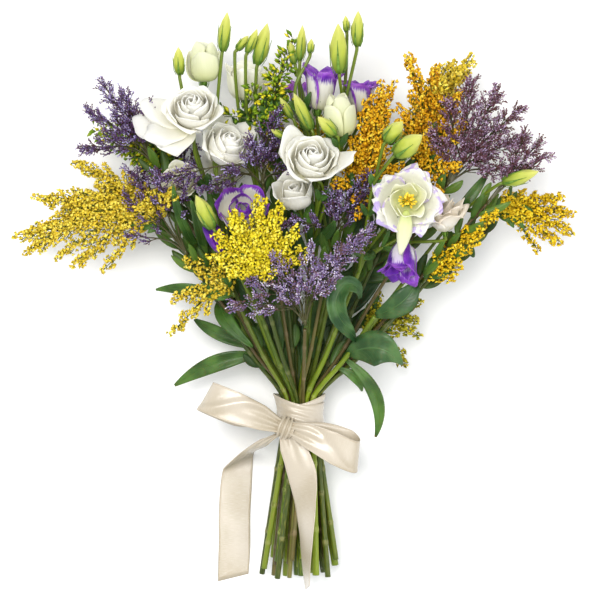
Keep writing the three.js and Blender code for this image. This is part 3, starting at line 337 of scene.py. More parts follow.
# The look of a sea lavender: its florets, how close its side shoots stand, where on an arm they
# start, and how far they reach
SEA_LAVENDER = [
    spray("sea_lavender_far_left", ("purple", 1.15, 0.35, 15), (-116, 110, 76),
          [(-152, 166, 84), (-164, 124, 82), (-120, 146, 92)]),
    spray("sea_lavender_left", ("purple", 1.2, 0.3, 17), (-29, 92, 90),
          [(-22, 140, 104), (-70, 92, 108), (-12, 104, 84), (-102, 98, 116)], [(-36, 118, 100)]),
    spray("sea_lavender_low_left", ("purple", 0.7, 0.55, 14), (-90, 38, 74),
          [(-130, 98, 84), (-128, 52, 84), (-92, 90, 98)]),
    spray("sea_lavender_front", ("lilac", 0.95, 0.3, 18), (4, -18, 102),
          [(-16, 28, 126), (30, 34, 124), (50, 52, 118), (-44, -2, 104)]),
    spray("sea_lavender_middle", ("purple", 1.0, 0.3, 16), (26, 48, 100),
          [(50, 92, 106), (-4, 62, 116)], [(28, 82, 104), (40, 70, 102)]),
    spray("sea_lavender_right", ("maroon", 1.15, 0.3, 14), (116, 92, 92),
          [(134, 168, 96), (168, 148, 92), (170, 104, 90)], [(118, 152, 108), (108, 128, 108)]),
    spray("sea_lavender_far_right", ("maroon", 0.8, 0.35, 9), (148, 78, 100),
          [(190, 112, 104), (176, 126, 96)]),
    spray("sea_lavender_back", ("purple", 1.0, 0.3, 18), (-84, 78, 30),
          [(-128, 118, 20), (-96, 140, 22), (-126, 76, 24)]),
]

# Round room that the blooms and buds need, which stems and sprays keep out of
ROOM = []
for one in BLOOMS:
    shallow = one.kind in ("rose", "open")
    for share in (0.45, 0.5) if shallow else (0.42, 0.76):
        ROOM.append((one.name, one.base + one.look * share * one.high, one.wide * 0.5))
for owner in FLOWER_STEMS:
    for one in owner.buds:
        for share in (0.3, 0.65):
            ROOM.append((owner.name, mix(one.base, one.tip, share), one.wide / 2))
ROOM_OWNERS = np.array([name for name, _, _ in ROOM])
ROOM_CENTRES = np.array([centre for _, centre, _ in ROOM])
ROOM_RADII = np.array([radius for _, _, radius in ROOM])


def pushed_out(point, radius, owner):
    """The point, moved out of all room that isn't its owner's."""
    far = np.linalg.norm(point - ROOM_CENTRES, axis=1)
    if not np.any((far < ROOM_RADII + radius + CLEARANCE) & (ROOM_OWNERS != owner)):
        return point
    for name, centre, room in ROOM:
        if name == owner:
            continue
        away = point - centre
        short = room + radius + CLEARANCE - size(away)
        if short > 0:
            point = point + unit(away) * short
    return point


def tie_slots(count):
    """Places for so many stems in the tie: a hexagonal packing, from the middle outwards and, where
    two are as far out, by their angle."""
    slots = []
    for row in range(-4, 5):
        for column in range(-4, 5):
            x = STEM_PITCH * (column + row / 2)
            z = STEM_PITCH * row * math.sqrt(3) / 2
            slots.append((math.hypot(x, z) + 1e-3 * math.atan2(z, x), x, z))
    return [(x, z) for _, x, z in sorted(slots, key=lambda slot: slot[0])[:count]]


def stem_plan(plants):
    """A place in the tie for each stem. Stems swap places as long as that brings two of them, taken
    together, nearer to the side that they lean to."""
    slots = tie_slots(len(plants))
    leans = []
    for one in plants:
        rise = one.top[1] - TIE_Y
        leans.append((one.top[0] / rise, (one.top[2] - TIE_HEIGHT) / rise))
    lean_to_place = 17

    def cost(stem, slot):
        return ((slots[slot][0] - lean_to_place * leans[stem][0]) ** 2
                + (slots[slot][1] - lean_to_place * leans[stem][1]) ** 2)

    order = list(range(len(plants)))
    improved = True
    while improved:
        improved = False
        for a in range(len(order)):
            for b in range(a + 1, len(order)):
                now = cost(a, order[a]) + cost(b, order[b])
                if cost(a, order[b]) + cost(b, order[a]) < now - 1e-9:
                    order[a], order[b] = order[b], order[a]
                    improved = True
    return [slots[i] for i in order]


def level_radius(levels, level):
    share = (level + 1) / (levels + 1)
    return STEM_LOW_RADIUS + (STEM_TOP_RADIUS - STEM_LOW_RADIUS) * share


def relax_level(stems, level):
    """Moves the stems at one level apart from each other and out of the room of blooms and buds."""
    here = [stem for stem in stems if len(stem.upper) > level]
    for i, a in enumerate(here):
        for b in here[i + 1:]:
            apart = b.upper[level] - a.upper[level]
            radii = level_radius(len(a.upper), level) + level_radius(len(b.upper), level)
            short = radii * STEM_SPACING + CLEARANCE - size(apart)
            if short > 0:
                step = unit(apart) * short / 2
                a.upper[level] = a.upper[level] - step
                b.upper[level] = b.upper[level] + step
        y = a.upper[level][1]
        moved = pushed_out(a.upper[level], level_radius(len(a.upper), level), a.name).copy()
        moved[1] = y
        moved[2] = max(moved[2], STEM_LOWEST)
        a.upper[level] = moved


def stem_lines(plants):
    """The line of each stem from its cut end through the tie and its levels to its top."""
    stems = []
    for one, (slot_x, slot_z) in zip(plants, stem_plan(plants)):
        top = one.top
        rise = top[1] - TIE_Y
        upper = []
        for y in STEM_LEVELS:
            if y < top[1] - TOP_PIECE:
                share = (y - TIE_Y) / rise
                upper.append(vec(slot_x * (1 - share) + top[0] * share ** 1.1, y,
                                 (TIE_HEIGHT + slot_z) * (1 - share) + top[2] * share))
        stems.append(SimpleNamespace(name=one.name, top=top, slot=(slot_x, slot_z), upper=upper))
    for _ in range(STEM_PASSES):
        for level in range(len(STEM_LEVELS)):
            relax_level(stems, level)
    lines = {}
    for stem in stems:
        x, z = stem.slot
        turn = BUNDLE_TWIST
        cut_x = (x * math.cos(turn) - z * math.sin(turn)) * CUT_SPREAD[0]
        cut_z = (x * math.sin(turn) + z * math.cos(turn)) * CUT_SPREAD[1]
        length = 1 + CUT_UNEVEN * math.sin(x * 1.7 + z * 2.3)
        low = vec(x, TIE_Y - TIE_BELOW, TIE_HEIGHT + z)
        high = vec(x, TIE_Y + TIE_ABOVE, TIE_HEIGHT + z)
        cut = mix(low, vec(cut_x, CUT_Y, CUT_HEIGHT + cut_z), length)
        lines[stem.name] = [cut, low, high, *stem.upper, stem.top]
    return lines


ALL_STEMS = [*FLOWER_STEMS, *LEAFY_STEMS, *GOLDENROD, *SEA_LAVENDER]
STALKS = stem_lines(ALL_STEMS)

# Stems and branches as their owner, their ends and their radius. The branches of the flower stems
# are bent clear of everything that is not on their own stem.
LAID = []
CAD_STEM_RADIUS = 2.9
SPRAY_RADII_AT_TIE = (3.8, 2.8)
FLOWER_RADII_AT_TIE = (1.3, 1.3)
SPRAY_NAMES = {one.name for one in [*GOLDENROD, *SEA_LAVENDER]}
for name, points in STALKS.items():
    tied = SPRAY_RADII_AT_TIE if name in SPRAY_NAMES else FLOWER_RADII_AT_TIE
    levels = len(points) - 4
    radii = [CAD_STEM_RADIUS, *tied, *[level_radius(levels, i) for i in range(levels)]]
    LAID += [(name, a, b, radius) for a, b, radius in zip(points, points[1:], radii)]


def bent_clear(points, radius, owner, own_bloom):
    """The points of a branch, pushed clear of rooms and laid pieces and evened out in turns."""
    rooms = ROOM_OWNERS != own_bloom
    centres, room_reach = ROOM_CENTRES[rooms], ROOM_RADII[rooms] + radius + 3 * CLEARANCE
    others = [piece[1:] for piece in LAID if piece[0] != owner]
    starts, ends, radii = (np.array(column) for column in zip(*others))
    spans = ends - starts
    squares = np.maximum(np.einsum("ij,ij->i", spans, spans), 1e-12)
    laid_reach = radii + radius + CLEARANCE + 1

    def shove(point, nearest, reach):
        away = point - nearest
        far = np.linalg.norm(away, axis=1)
        short = reach - far
        hit = short > 0
        if not hit.any():
            return 0
        heading = away[hit] / np.maximum(far[hit], 1e-9)[:, None]
        return (heading * (short[hit] * 0.5)[:, None]).sum(axis=0)

    def push(point):
        share = np.clip(np.einsum("ij,ij->i", point - starts, spans) / squares, 0, 1)
        nearest = starts + spans * share[:, None]
        return shove(point, centres, room_reach) + shove(point, nearest, laid_reach)

    for _ in range(BRANCH_PASSES):
        for i in range(1, len(points) - 1):
            points[i] = mix(points[i], mix(points[i - 1], points[i + 1], 0.5), 0.06)
            points[i] = points[i] + push(points[i])
        for i in range(1, len(points)):
            shift = push(mix(points[i - 1], points[i], 0.5))
            if i > 1:
                points[i - 1] = points[i - 1] + shift
            if i + 1 < len(points):
                points[i] = points[i] + shift
    return points


def cubic(a, b, c, d, t):
    """Points on a Bezier curve."""
    t = np.asarray(t, dtype=float)[..., None]
    s = 1 - t
    return s ** 3 * a + 3 * s * s * t * b + 3 * s * t * t * c + t ** 3 * d


def branch_line(name, end, arrive, own_bloom, share, fork):
    """A branch that arrives at its end. It leaves the last piece of its stem at a share of it, or
    forks off near the end of another branch."""
    below, top = fork[-4:-2] if fork else STALKS[name][-2:]
    start = top if fork else mix(below, top, share)
    leave = unit(top - below)
    reach = size(end - start)
    neck = end - arrive * BRANCH_NECK
    steps = 4 if reach > 60 else 3
    points = cubic(start, start + leave * reach * 0.3, neck - arrive * reach * 0.3, neck,
                   np.linspace(0, 1, steps + 1))
    line = bent_clear(list(points), BRANCH_RADIUS, name, own_bloom)
    line.append(end)
    LAID.extend((name, a, b, BRANCH_RADIUS) for a, b in zip(line, line[1:]))
    return line


for one in FLOWER_STEMS:
    ends = []
    for bloom_name in one.blooms:
        found = BLOOM_OF[bloom_name]
        ends.append((found.base, found.look, bloom_name, None))
    for item in one.buds:
        ends.append((item.base, unit(item.tip - item.base), "", item.fork))
    for i, (end, arrive, own, fork) in enumerate(ends):
        share = HIGHEST_JOINT - (HIGHEST_JOINT - LOWEST_JOINT) * i / max(len(ends) - 1, 1)
        other = one.branches[one.blooms.index(fork)] if fork else None
        one.branches.append(branch_line(one.name, end, arrive, own, share, other))


def arm_line(one, tip):
    """An arm of a spray as three points, pushed out of the room of blooms and buds."""
    below = STALKS[one.name][-2]
    leave = unit(one.top - below)
    start = one.top + leave * (SEAT_GAP + 1)
    control = start + leave * size(tip - start) * 0.4
    middle = 0.25 * start + 0.5 * control + 0.25 * tip
    return [start, pushed_out(middle, ARM_ROOM, one.name), pushed_out(tip, ARM_ROOM, one.name)]


def along_line(line, share):
    """The point at a share of a line's pieces, and the direction there."""
    place = share * (len(line) - 1)
    piece = min(int(place), len(line) - 2)
    along = unit(line[piece + 1] - line[piece])
    return mix(line[piece], line[piece + 1], place - piece), along


# Meshes

class Parts:
    """The points and faces of a piece, gathered part by part. Materials read a part's tone, one
    number for a whole floret, leaf or petal, and its places, which say where on it a point lies."""

    def __init__(self):
        self.points, self.faces, self.numbers, self.tones, self.places = [], [], [], [], []
        self.materials = []
        self.count = 0

    def add(self, material, points, some_faces, tone, places):
        """Each array in some_faces has rows of as many corners."""
        points = np.asarray(points, dtype=float).reshape(-1, 3)
        if material not in self.materials:
            self.materials.append(material)
        for faces in some_faces:
            self.faces.append(faces + self.count)
            self.numbers.append(np.full(len(faces), self.materials.index(material)))
        self.points.append(points)
        self.tones.append(np.broadcast_to(np.asarray(tone, dtype=float), (len(points),)))
        self.places.append(np.asarray(places, dtype=float).reshape(-1, 3))
        self.count += len(points)


def make_piece(name, parts, slot, node):
    points = (np.concatenate(parts.points) + SHIFT) * MM
    mesh = bpy.data.meshes.new(name)
    mesh.vertices.add(len(points))
    mesh.vertices.foreach_set("co", points.ravel().astype("f"))
    corners = np.concatenate([faces.ravel() for faces in parts.faces])
    totals = np.concatenate([np.full(len(faces), faces.shape[1]) for faces in parts.faces])
    starts = np.concatenate([[0], np.cumsum(totals)[:-1]])
    mesh.loops.add(len(corners))
    mesh.loops.foreach_set("vertex_index", corners.astype("i"))
    mesh.polygons.add(len(totals))
    mesh.polygons.foreach_set("loop_start", starts.astype("i"))
    mesh.polygons.foreach_set("loop_total", totals.astype("i"))
    mesh.polygons.foreach_set("material_index", np.concatenate(parts.numbers).astype("i"))
    mesh.polygons.foreach_set("use_smooth", np.ones(len(totals), dtype=bool))
    for attribute, form, field, values in (("tone", "FLOAT", "value", parts.tones),
                                           ("place", "FLOAT_VECTOR", "vector", parts.places)):
        data = mesh.attributes.new(attribute, form, "POINT").data
        data.foreach_set(field, np.concatenate(values).ravel().astype("f"))
    mesh.update(calc_edges=True)
    mesh.validate()
    for material in parts.materials:
        mesh.materials.append(material)
    piece = bpy.data.objects.new(name, mesh)
    bpy.context.scene.collection.objects.link(piece)
    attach(piece, "root")
    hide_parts(node)
    return piece


def grid_faces(rows, columns, wrap=False):
    width = columns if wrap else columns + 1
    row, column = np.meshgrid(np.arange(rows), np.arange(columns), indexing="ij")
    a = (row * width + column).ravel()
    b = (row * width + (column + 1) % width).ravel() if wrap else a + 1
    return np.stack([a, b, b + width, a + width], axis=1)


def fan(ring, centre, flip=False):
    """Triangles from each two neighbours in a ring of corners to one centre."""
    pair = (np.roll(ring, -1), ring) if flip else (ring, np.roll(ring, -1))
    return np.stack([*pair, np.full(len(ring), centre)], axis=1)


def add_blade(parts, material, place, columns, rows, thickness, tone=0.5, rim=0.5, marks=None):
    """A thin closed blade: place(u, v) for u from -1 to 1 and v from 0 to 1. rim is the share of
    the thickness that is left at the rim. marks(u, v) gives a third number for the material."""
    u, v = np.meshgrid(np.linspace(-1, 1, columns + 1), np.linspace(0, 1, rows + 1))
    points = place(u, v)
    normal = units(np.cross(np.gradient(points, axis=1), np.gradient(points, axis=0)))
    edge = np.maximum(np.abs(u), np.abs(2 * v - 1)) > 0.999
    half = np.where(edge, rim, 1.0)[..., None] * thickness / 2
    both = np.stack([points + normal * half, points - normal * half])
    front = grid_faces(rows, columns)
    count = (rows + 1) * (columns + 1)
    index = np.arange(count).reshape(rows + 1, columns + 1)
    loop = np.concatenate([index[0, :-1], index[:-1, -1], index[-1, :0:-1], index[:0:-1, 0]])
    after = np.roll(loop, -1)
    rims = np.stack([after, loop, loop + count, after + count], axis=1)
    faces = np.concatenate([front, front[:, ::-1] + count, rims])
    third = np.zeros_like(u) if marks is None else marks(u, v)
    places = np.stack([u, v, third], axis=2).reshape(-1, 3)
    parts.add(material, both, [faces], tone, np.concatenate([places, places]))


def frames_along(points):
    """Directions across a line, each turned as little as possible from the one before."""
    points = np.asarray(points)
    along = units(np.gradient(points, axis=0))
    side = np.cross(UP, along[0]) if abs(along[0][2]) < 0.9 else np.cross(vec(1, 0, 0), along[0])
    sides = []
    for direction in along:
        side = unit(side - direction * (side @ direction))
        sides.append(side)
    sides = np.array(sides)
    return along, sides, np.cross(along, sides)


def add_tube(parts, material, points, radii, sides, tone=0.5, marks=0.0):
    """A closed tube along a line. marks gives a third number for the material."""
    points = np.asarray(points)
    radii = np.broadcast_to(np.asarray(radii, dtype=float), (len(points),))
    _, side, face = frames_along(points)
    angle = TURN * np.arange(sides) / sides
    out = np.cos(angle)[None, :, None] * side[:, None] + np.sin(angle)[None, :, None] * face[:, None]
    skin = points[:, None] + out * radii[:, None, None]
    length = lengths_along(points)
    place = np.stack(np.broadcast_arrays(angle[None, :] / TURN, length[:, None], marks), axis=2)
    closed = np.concatenate([skin.reshape(-1, 3), points[:1], points[-1:]])
    places = np.concatenate([place.reshape(-1, 3), place[0, :1], place[-1, :1]])
    rows = len(points) - 1
    ring = np.arange(sides)
    root, tip = len(closed) - 2, len(closed) - 1
    caps = np.concatenate([fan(ring, root, flip=True), fan(rows * sides + ring, tip)])
    parts.add(material, closed, [grid_faces(rows, sides, wrap=True), caps], tone, places)


def smooth_line(points, per_piece):
    """A smooth line through points: Catmull-Rom pieces, each of so many steps."""
    points = np.asarray(points, dtype=float)
    padded = np.concatenate([[2 * points[0] - points[1]], points, [2 * points[-1] - points[-2]]])
    found = []
    for a, b, c, d in zip(padded, padded[1:], padded[2:], padded[3:]):
        limit = min(size(c - b), 60)
        leave = unit(c - a) * limit / 3
        arrive = unit(d - b) * limit / 3
        found.append(cubic(b, b + leave, c - arrive, c, np.arange(per_piece) / per_piece))
    return np.concatenate([*found, points[-1:]])


def axes_for(headings, spin):
    """Right-handed directions with the third along each heading, turned by spin."""
    headings = units(headings)
    flat = np.abs(headings[:, 2:]) < 0.9
    helper = np.where(flat, UP[None], vec(1, 0, 0)[None])
    side = units(np.cross(helper, headings))
    face = np.cross(headings, side)
    turned = side * np.cos(spin)[:, None] + face * np.sin(spin)[:, None]
    return np.stack([turned, np.cross(headings, turned), headings], axis=2)


# Materials

class Shading:
    """A material and its nodes, with short names for the nodes that are used here."""

    def __init__(self, name, roughness, specular, subsurface=0.0, coat=0.0, sheen=0.0):
        self.material = bpy.data.materials.new(name)
        self.material.use_nodes = True
        self.tree = self.material.node_tree
        self.shader = self.tree.nodes["Principled BSDF"]
        self.set("Roughness", roughness)
        self.set("Specular IOR Level", specular)
        self.set("Subsurface Weight", subsurface)
        self.set("Subsurface Scale", 0.004)
        self.set("Coat Weight", coat)
        self.set("Coat Roughness", 0.3)
        self.set("Sheen Weight", sheen)
        self.place = self.node("Attribute", {}, "Vector", attribute_name="place")
        self.tone = self.node("Attribute", {}, "Fac", attribute_name="tone")

    def set(self, socket, value):
        self.link(value, self.shader.inputs[socket])

    def link(self, value, target):
        """value is the output of another node or a plain value."""
        if hasattr(value, "is_output"):
            self.tree.links.new(value, target)
        else:
            target.default_value = value

    def node(self, kind, values, output, **settings):
        """One output of a new node with its settings and the values of its inputs."""
        node = self.tree.nodes.new("ShaderNode" + kind)
        for name, setting in settings.items():
            setattr(node, name, setting)
        for socket, value in values.items():
            self.link(value, node.inputs[socket])
        return node.outputs[output]

    def axis(self, vector, letter):
        return self.node("SeparateXYZ", {0: vector}, letter)

    def scaled(self, vector, scale):
        return self.node("VectorMath", {0: vector, 1: scale}, 0, operation="MULTIPLY")

    def math(self, operation, a, b=0.0):
        return self.node("Math", {0: a, 1: b}, 0, operation=operation)

    def times(self, a, b):
        return self.math("MULTIPLY", a, b)

    def plus(self, a, b):
        return self.math("ADD", a, b)

    def less(self, a, b):
        return self.math("SUBTRACT", a, b)

    def position(self):
        return self.node("TexCoord", {}, "Object")

    def noise(self, vector, scale, detail):
        return self.node("TexNoise", {"Vector": vector, "Scale": scale, "Detail": detail}, "Fac")

    def ramp(self, value, stops):
        node = self.tree.nodes.new("ShaderNodeValToRGB")
        self.link(value, node.inputs["Fac"])
        elements = node.color_ramp.elements
        while len(elements) < len(stops):
            elements.new(0.5)
        for element, (position, colour) in zip(elements, stops):
            element.position = position
            element.color = (*colour, 1)
        return node.outputs["Color"]

    def blend(self, share, a, b):
        a, b = ((*value, 1) if isinstance(value, tuple) else value for value in (a, b))
        return self.node("Mix", {"Factor": share, "A": a, "B": b}, "Result", data_type="RGBA")

    def between(self, value, low, high):
        """0 up to low, 1 from high on, and smooth between them."""
        return self.node("MapRange", {"Value": value, "From Min": low, "From Max": high}, "Result",
                         interpolation_type="SMOOTHSTEP")

    def bump(self, height, distance, strength):
        values = {"Height": height, "Distance": distance, "Strength": strength}
        self.set("Normal", self.node("Bump", values, "Normal"))

    def finish(self, colour):
        self.set("Base Color", colour)
        return self.material


def petal_material(name, depth, body, rim, violet=None, spread=0.5, spots=0.0, whole=2.0):
    """Petals run from depth at the root over body to rim. violet marks a share of them, spread, from
    the rim inwards: place z holds how near the rim a point is. spots breaks it up into patches.
    Petals with a tone above whole are violet nearly all over."""
    shading = Shading(name, 0.5, specular=0.3, subsurface=0.4, sheen=0.1)
    shading.set("Subsurface Scale", 0.012)
    shading.set("Subsurface Radius", (1.0, 0.9, 0.7))
    along, near = (shading.axis(shading.place, letter) for letter in "YZ")
    streaks = shading.noise(shading.scaled(shading.place, (9, 1.2, 0)), 1.6, 4)
    cloud = shading.noise(shading.position(), 90, 3)
    colour = shading.ramp(along, [(0.0, depth), (0.42, body), (1.0, rim)])
    tint = shading.times(shading.between(streaks, 0.42, 0.75), 0.08)
    colour = shading.blend(tint, colour, depth)
    if violet:
        edge = shading.plus(near, shading.times(shading.less(streaks, 0.5), 0.35))
        edge = shading.plus(edge, shading.times(shading.less(cloud, 0.5), 0.45))
        all_over = shading.between(shading.tone, whole, whole + 0.1)
        edge = shading.plus(edge, shading.times(all_over, 0.5))
        mask = shading.between(edge, 1 - spread, 1 - spread * 0.55)
        if spots:
            patches = shading.between(shading.noise(shading.position(), 140, 1), 0.5, 0.6)
            mask = shading.times(mask, shading.times(patches, spots))
        shade = shading.blend(shading.between(cloud, 0.35, 0.7), violet[0], violet[1])
        colour = shading.blend(mask, colour, shade)
    veins = shading.noise(shading.scaled(shading.place, (14, 1.0, 0)), 2.2, 3)
    shading.bump(veins, 0.0005, 0.5)
    return shading.finish(colour)


def stem_material(name, young, old, dark):
    """Stems: dark to young by the tone of each, streaked with old, scarred at the joints, and painted
    darker above the tie as shade from the leaves there."""
    shading = Shading(name, 0.34, specular=0.5, subsurface=0.05)
    streaks = shading.noise(shading.scaled(shading.place, (7, 0.05, 1)), 2.4, 4)
    patches = shading.noise(shading.position(), 26, 2)
    colour = shading.blend(shading.between(shading.tone, 0.0, 1.0), dark, young)
    colour = shading.blend(shading.between(streaks, 0.45, 0.85), colour, old)
    colour = shading.blend(shading.times(shading.between(patches, 0.55, 0.75), 0.5), colour, dark)
    knots = shading.between(shading.axis(shading.place, "Z"), 0.2, 0.9)
    specks = shading.between(shading.noise(shading.position(), 300, 1), 0.6, 0.66)
    ring = shading.blend(specks, tuple(0.1 + 0.9 * part for part in old), (0.10, 0.07, 0.02))
    colour = shading.blend(shading.times(knots, 0.45), colour, ring)
    # Painted shade: stems are blended towards dark above the tie, where the leaves above them shade
    # them
    above_tie = shading.between(shading.axis(shading.position(), "Y"), -0.085, -0.03)
    colour = shading.blend(shading.times(above_tie, 0.58), colour, dark)
    shading.bump(streaks, 0.0006, 0.5)
    return shading.finish(colour)


def leaf_material(name, dark, light, back):
    """Leaves: dark and light patches, more of back by the tone of each, and lighter sunken veins."""
    shading = Shading(name, 0.44, specular=0.42, subsurface=0.06, coat=0.08)
    across, along = (shading.axis(shading.place, letter) for letter in "XY")
    patches = shading.noise(shading.position(), 45, 3)
    colour = shading.blend(shading.between(patches, 0.35, 0.7), dark, light)
    colour = shading.blend(shading.times(shading.tone, 0.55), colour, back)
    rib = shading.math("ABSOLUTE", across)
    slanted = shading.plus(shading.times(along, 11.0), shading.times(rib, -3.2))
    wave = shading.math("ABSOLUTE", shading.math("SINE", shading.times(slanted, math.pi)))
    vein = shading.less(1.0, shading.between(wave, 0.0, 0.22))
    midrib = shading.less(1.0, shading.between(rib, 0.02, 0.1))
    lines = shading.math("MAXIMUM", midrib, shading.times(vein, 0.35))
    colour = shading.blend(shading.times(lines, 0.45), colour, light)
    shading.bump(shading.times(lines, -1.0), 0.0007, 0.6)
    return shading.finish(colour)


def floret_material(name, root, low, high, tip):
    """Florets: root colour where they sit, low to high by the tone of each, and tip at the rim."""
    shading = Shading(name, 0.65, specular=0.25, subsurface=0.08)
    rise = shading.axis(shading.place, "Z")
    colour = shading.ramp(shading.tone, [(0.0, low), (0.55, high), (1.0, tip)])
    colour = shading.blend(shading.between(rise, 0.85, 0.2), colour, root)
    return shading.finish(colour)


def plain_material(name, low, high, roughness):
    """A fine grain of two colours."""
    shading = Shading(name, roughness, specular=0.35)
    cloud = shading.noise(shading.position(), 300, 3)
    shading.bump(cloud, 0.0004, 0.4)
    return shading.finish(shading.blend(shading.between(cloud, 0.35, 0.7), low, high))


def satin_material():
    """Satin: painted sheen in broad lighter and darker patches, fine threads across the ribbon,
    and a woven edge along both sides.
    """
    shading = Shading("satin", 0.22, specular=0.9, sheen=0.15)
    shading.set("Sheen Roughness", 0.4)
    shading.set("Anisotropic", 0.5)
    across = shading.axis(shading.place, "X")
    threads = shading.noise(shading.scaled(shading.place, (2.5, 900, 0)), 1.0, 2)
    # Broad lighter and darker patches: painted sheen of the satin
    cloud = shading.noise(shading.position(), 26, 1)
    colour = shading.blend(shading.between(cloud, 0.3, 0.7), (0.41, 0.35, 0.25), (0.54, 0.48, 0.39))
    colour = shading.blend(shading.times(shading.between(threads, 0.4, 0.7), 0.3), colour,
                           (0.64, 0.59, 0.50))
    off = shading.math("ABSOLUTE", shading.less(shading.math("ABSOLUTE", across), 0.91))
    seam = shading.less(1.0, shading.between(off, 0.008, 0.03))
    colour = shading.blend(shading.times(seam, 0.55), colour, (0.46, 0.36, 0.24))
    shading.bump(shading.plus(threads, shading.times(seam, -1.5)), 0.00025, 0.35)
    return shading.finish(colour)


WHITE_RIM = (0.86, 0.845, 0.775)
WHITE = ((0.62, 0.61, 0.28), (0.81, 0.78, 0.64), WHITE_RIM)
VIOLETS = ((0.23, 0.035, 0.52), (0.075, 0.010, 0.26))
PALE_VIOLETS = ((0.50, 0.34, 0.82), (0.34, 0.18, 0.70))
# For each kind of petal its slot name and its material
PETALS = {
    "white": ("white_petal", petal_material("white_petals", *WHITE)),
    # Cream white, made lighter as painted light for the blooms that lie low in shade
    "creamy": ("white_petal", petal_material(
        "creamy_white_petals", (0.60, 0.65, 0.22), (0.92, 0.90, 0.66), (0.94, 0.925, 0.80))),
    # White petals made lighter as painted light, for the rose that lies in the shade of the left rose
    "warm": ("white_petal", petal_material(
        "warm_white_petals", (0.74, 0.70, 0.38), (0.94, 0.915, 0.79), (0.96, 0.945, 0.88))),
    "cream": ("cream_petal", petal_material(
        "cream_petals", (0.42, 0.52, 0.12), (0.74, 0.76, 0.38), (0.82, 0.82, 0.56))),
    "rimmed": ("violet_rimmed_petal", petal_material("violet_rimmed_petals", *WHITE, VIOLETS, 0.40)),
    "margined": ("violet_rimmed_petal", petal_material(
        "violet_margined_petals", *WHITE, VIOLETS, 0.30)),
    "spotted": ("white_petal", petal_material(
        "lilac_spotted_petals", (0.62, 0.62, 0.26), (0.80, 0.78, 0.62), WHITE_RIM,
        PALE_VIOLETS, 0.34, spots=0.75)),
    "nodding": ("violet_rimmed_petal", petal_material(
        "violet_petals", (0.86, 0.80, 0.84), (0.90, 0.86, 0.88), (0.70, 0.50, 0.86),
        VIOLETS, 0.42, whole=0.5)),
    "folded": ("violet_petal", petal_material(
        "dark_violet_petals", (0.52, 0.30, 0.48), (0.10, 0.02, 0.26), (0.06, 0.01, 0.22),
        VIOLETS, 0.7)),
    "withered": ("withered_petal", petal_material(
        "withered_petals", (0.62, 0.56, 0.30), (0.90, 0.84, 0.71), (0.78, 0.67, 0.52))),
}
PALE_GREEN_PETAL = PETALS["cream"][1]
STEM_GREEN, SPRAY_GREEN, STALK_BROWN, TWIG_BROWN = (
    stem_material(name, *colours) for name, *colours in [
        ("flower_stem_green", (0.23, 0.31, 0.02), (0.36, 0.40, 0.05), (0.065, 0.11, 0.01)),
        ("spray_stem_green", (0.18, 0.24, 0.02), (0.26, 0.24, 0.04), (0.04, 0.065, 0.008)),
        ("lavender_stalks", (0.20, 0.20, 0.05), (0.26, 0.16, 0.07), (0.08, 0.06, 0.02)),
        ("lavender_twigs", (0.13, 0.13, 0.04), (0.20, 0.12, 0.06), (0.06, 0.06, 0.02)),
    ])
LEAF_GREEN, BIG_LEAF_GREEN, NARROW_LEAF_GREEN = (
    leaf_material(name, *colours) for name, *colours in [
        ("leaf_green", (0.022, 0.065, 0.010), (0.09, 0.19, 0.035), (0.08, 0.18, 0.03)),
        ("blue_green_leaf", (0.018, 0.062, 0.020), (0.105, 0.205, 0.07), (0.06, 0.13, 0.03)),
        ("narrow_leaf_green", (0.014, 0.042, 0.006), (0.06, 0.13, 0.018), (0.15, 0.27, 0.03)),
    ])
BUD_GREEN = petal_material("bud_petals", (0.11, 0.19, 0.02), (0.38, 0.43, 0.06), (0.56, 0.56, 0.17))
SEPAL_GREEN = plain_material("sepals", (0.07, 0.15, 0.02), (0.16, 0.28, 0.04), 0.5)
# Florets: the colours of root, low tones, high tones and tip
FLORETS = {
    name: floret_material(name + "_florets", *colours) for name, *colours in [
        ("yellow", (0.15, 0.17, 0.03), (0.46, 0.35, 0.03), (0.76, 0.56, 0.05), (0.90, 0.76, 0.16)),
        ("lemon", (0.16, 0.18, 0.02), (0.52, 0.42, 0.02), (0.80, 0.65, 0.03), (0.94, 0.82, 0.14)),
        ("ochre", (0.16, 0.15, 0.02), (0.46, 0.30, 0.01), (0.76, 0.51, 0.015), (0.88, 0.68, 0.06)),
        ("orange", (0.16, 0.11, 0.012), (0.44, 0.20, 0.008), (0.78, 0.44, 0.015), (0.93, 0.68, 0.08)),
        ("olive", (0.09, 0.13, 0.015), (0.24, 0.24, 0.02), (0.48, 0.43, 0.03), (0.70, 0.60, 0.07)),
        ("unopened", (0.06, 0.14, 0.012), (0.13, 0.25, 0.02), (0.28, 0.40, 0.03), (0.80, 0.68, 0.04)),
        ("purple", (0.21, 0.11, 0.06), (0.07, 0.035, 0.06), (0.16, 0.105, 0.26), (0.58, 0.52, 0.80)),
        ("lilac", (0.36, 0.20, 0.10), (0.20, 0.12, 0.12), (0.29, 0.22, 0.47), (0.86, 0.79, 0.90)),
        ("maroon", (0.24, 0.11, 0.05), (0.11, 0.05, 0.045), (0.22, 0.115, 0.18), (0.64, 0.50, 0.70)),
    ]
}
SATIN = satin_material()
ANTHER = plain_material("anthers", (0.75, 0.50, 0.03), (0.92, 0.72, 0.10), 0.6)


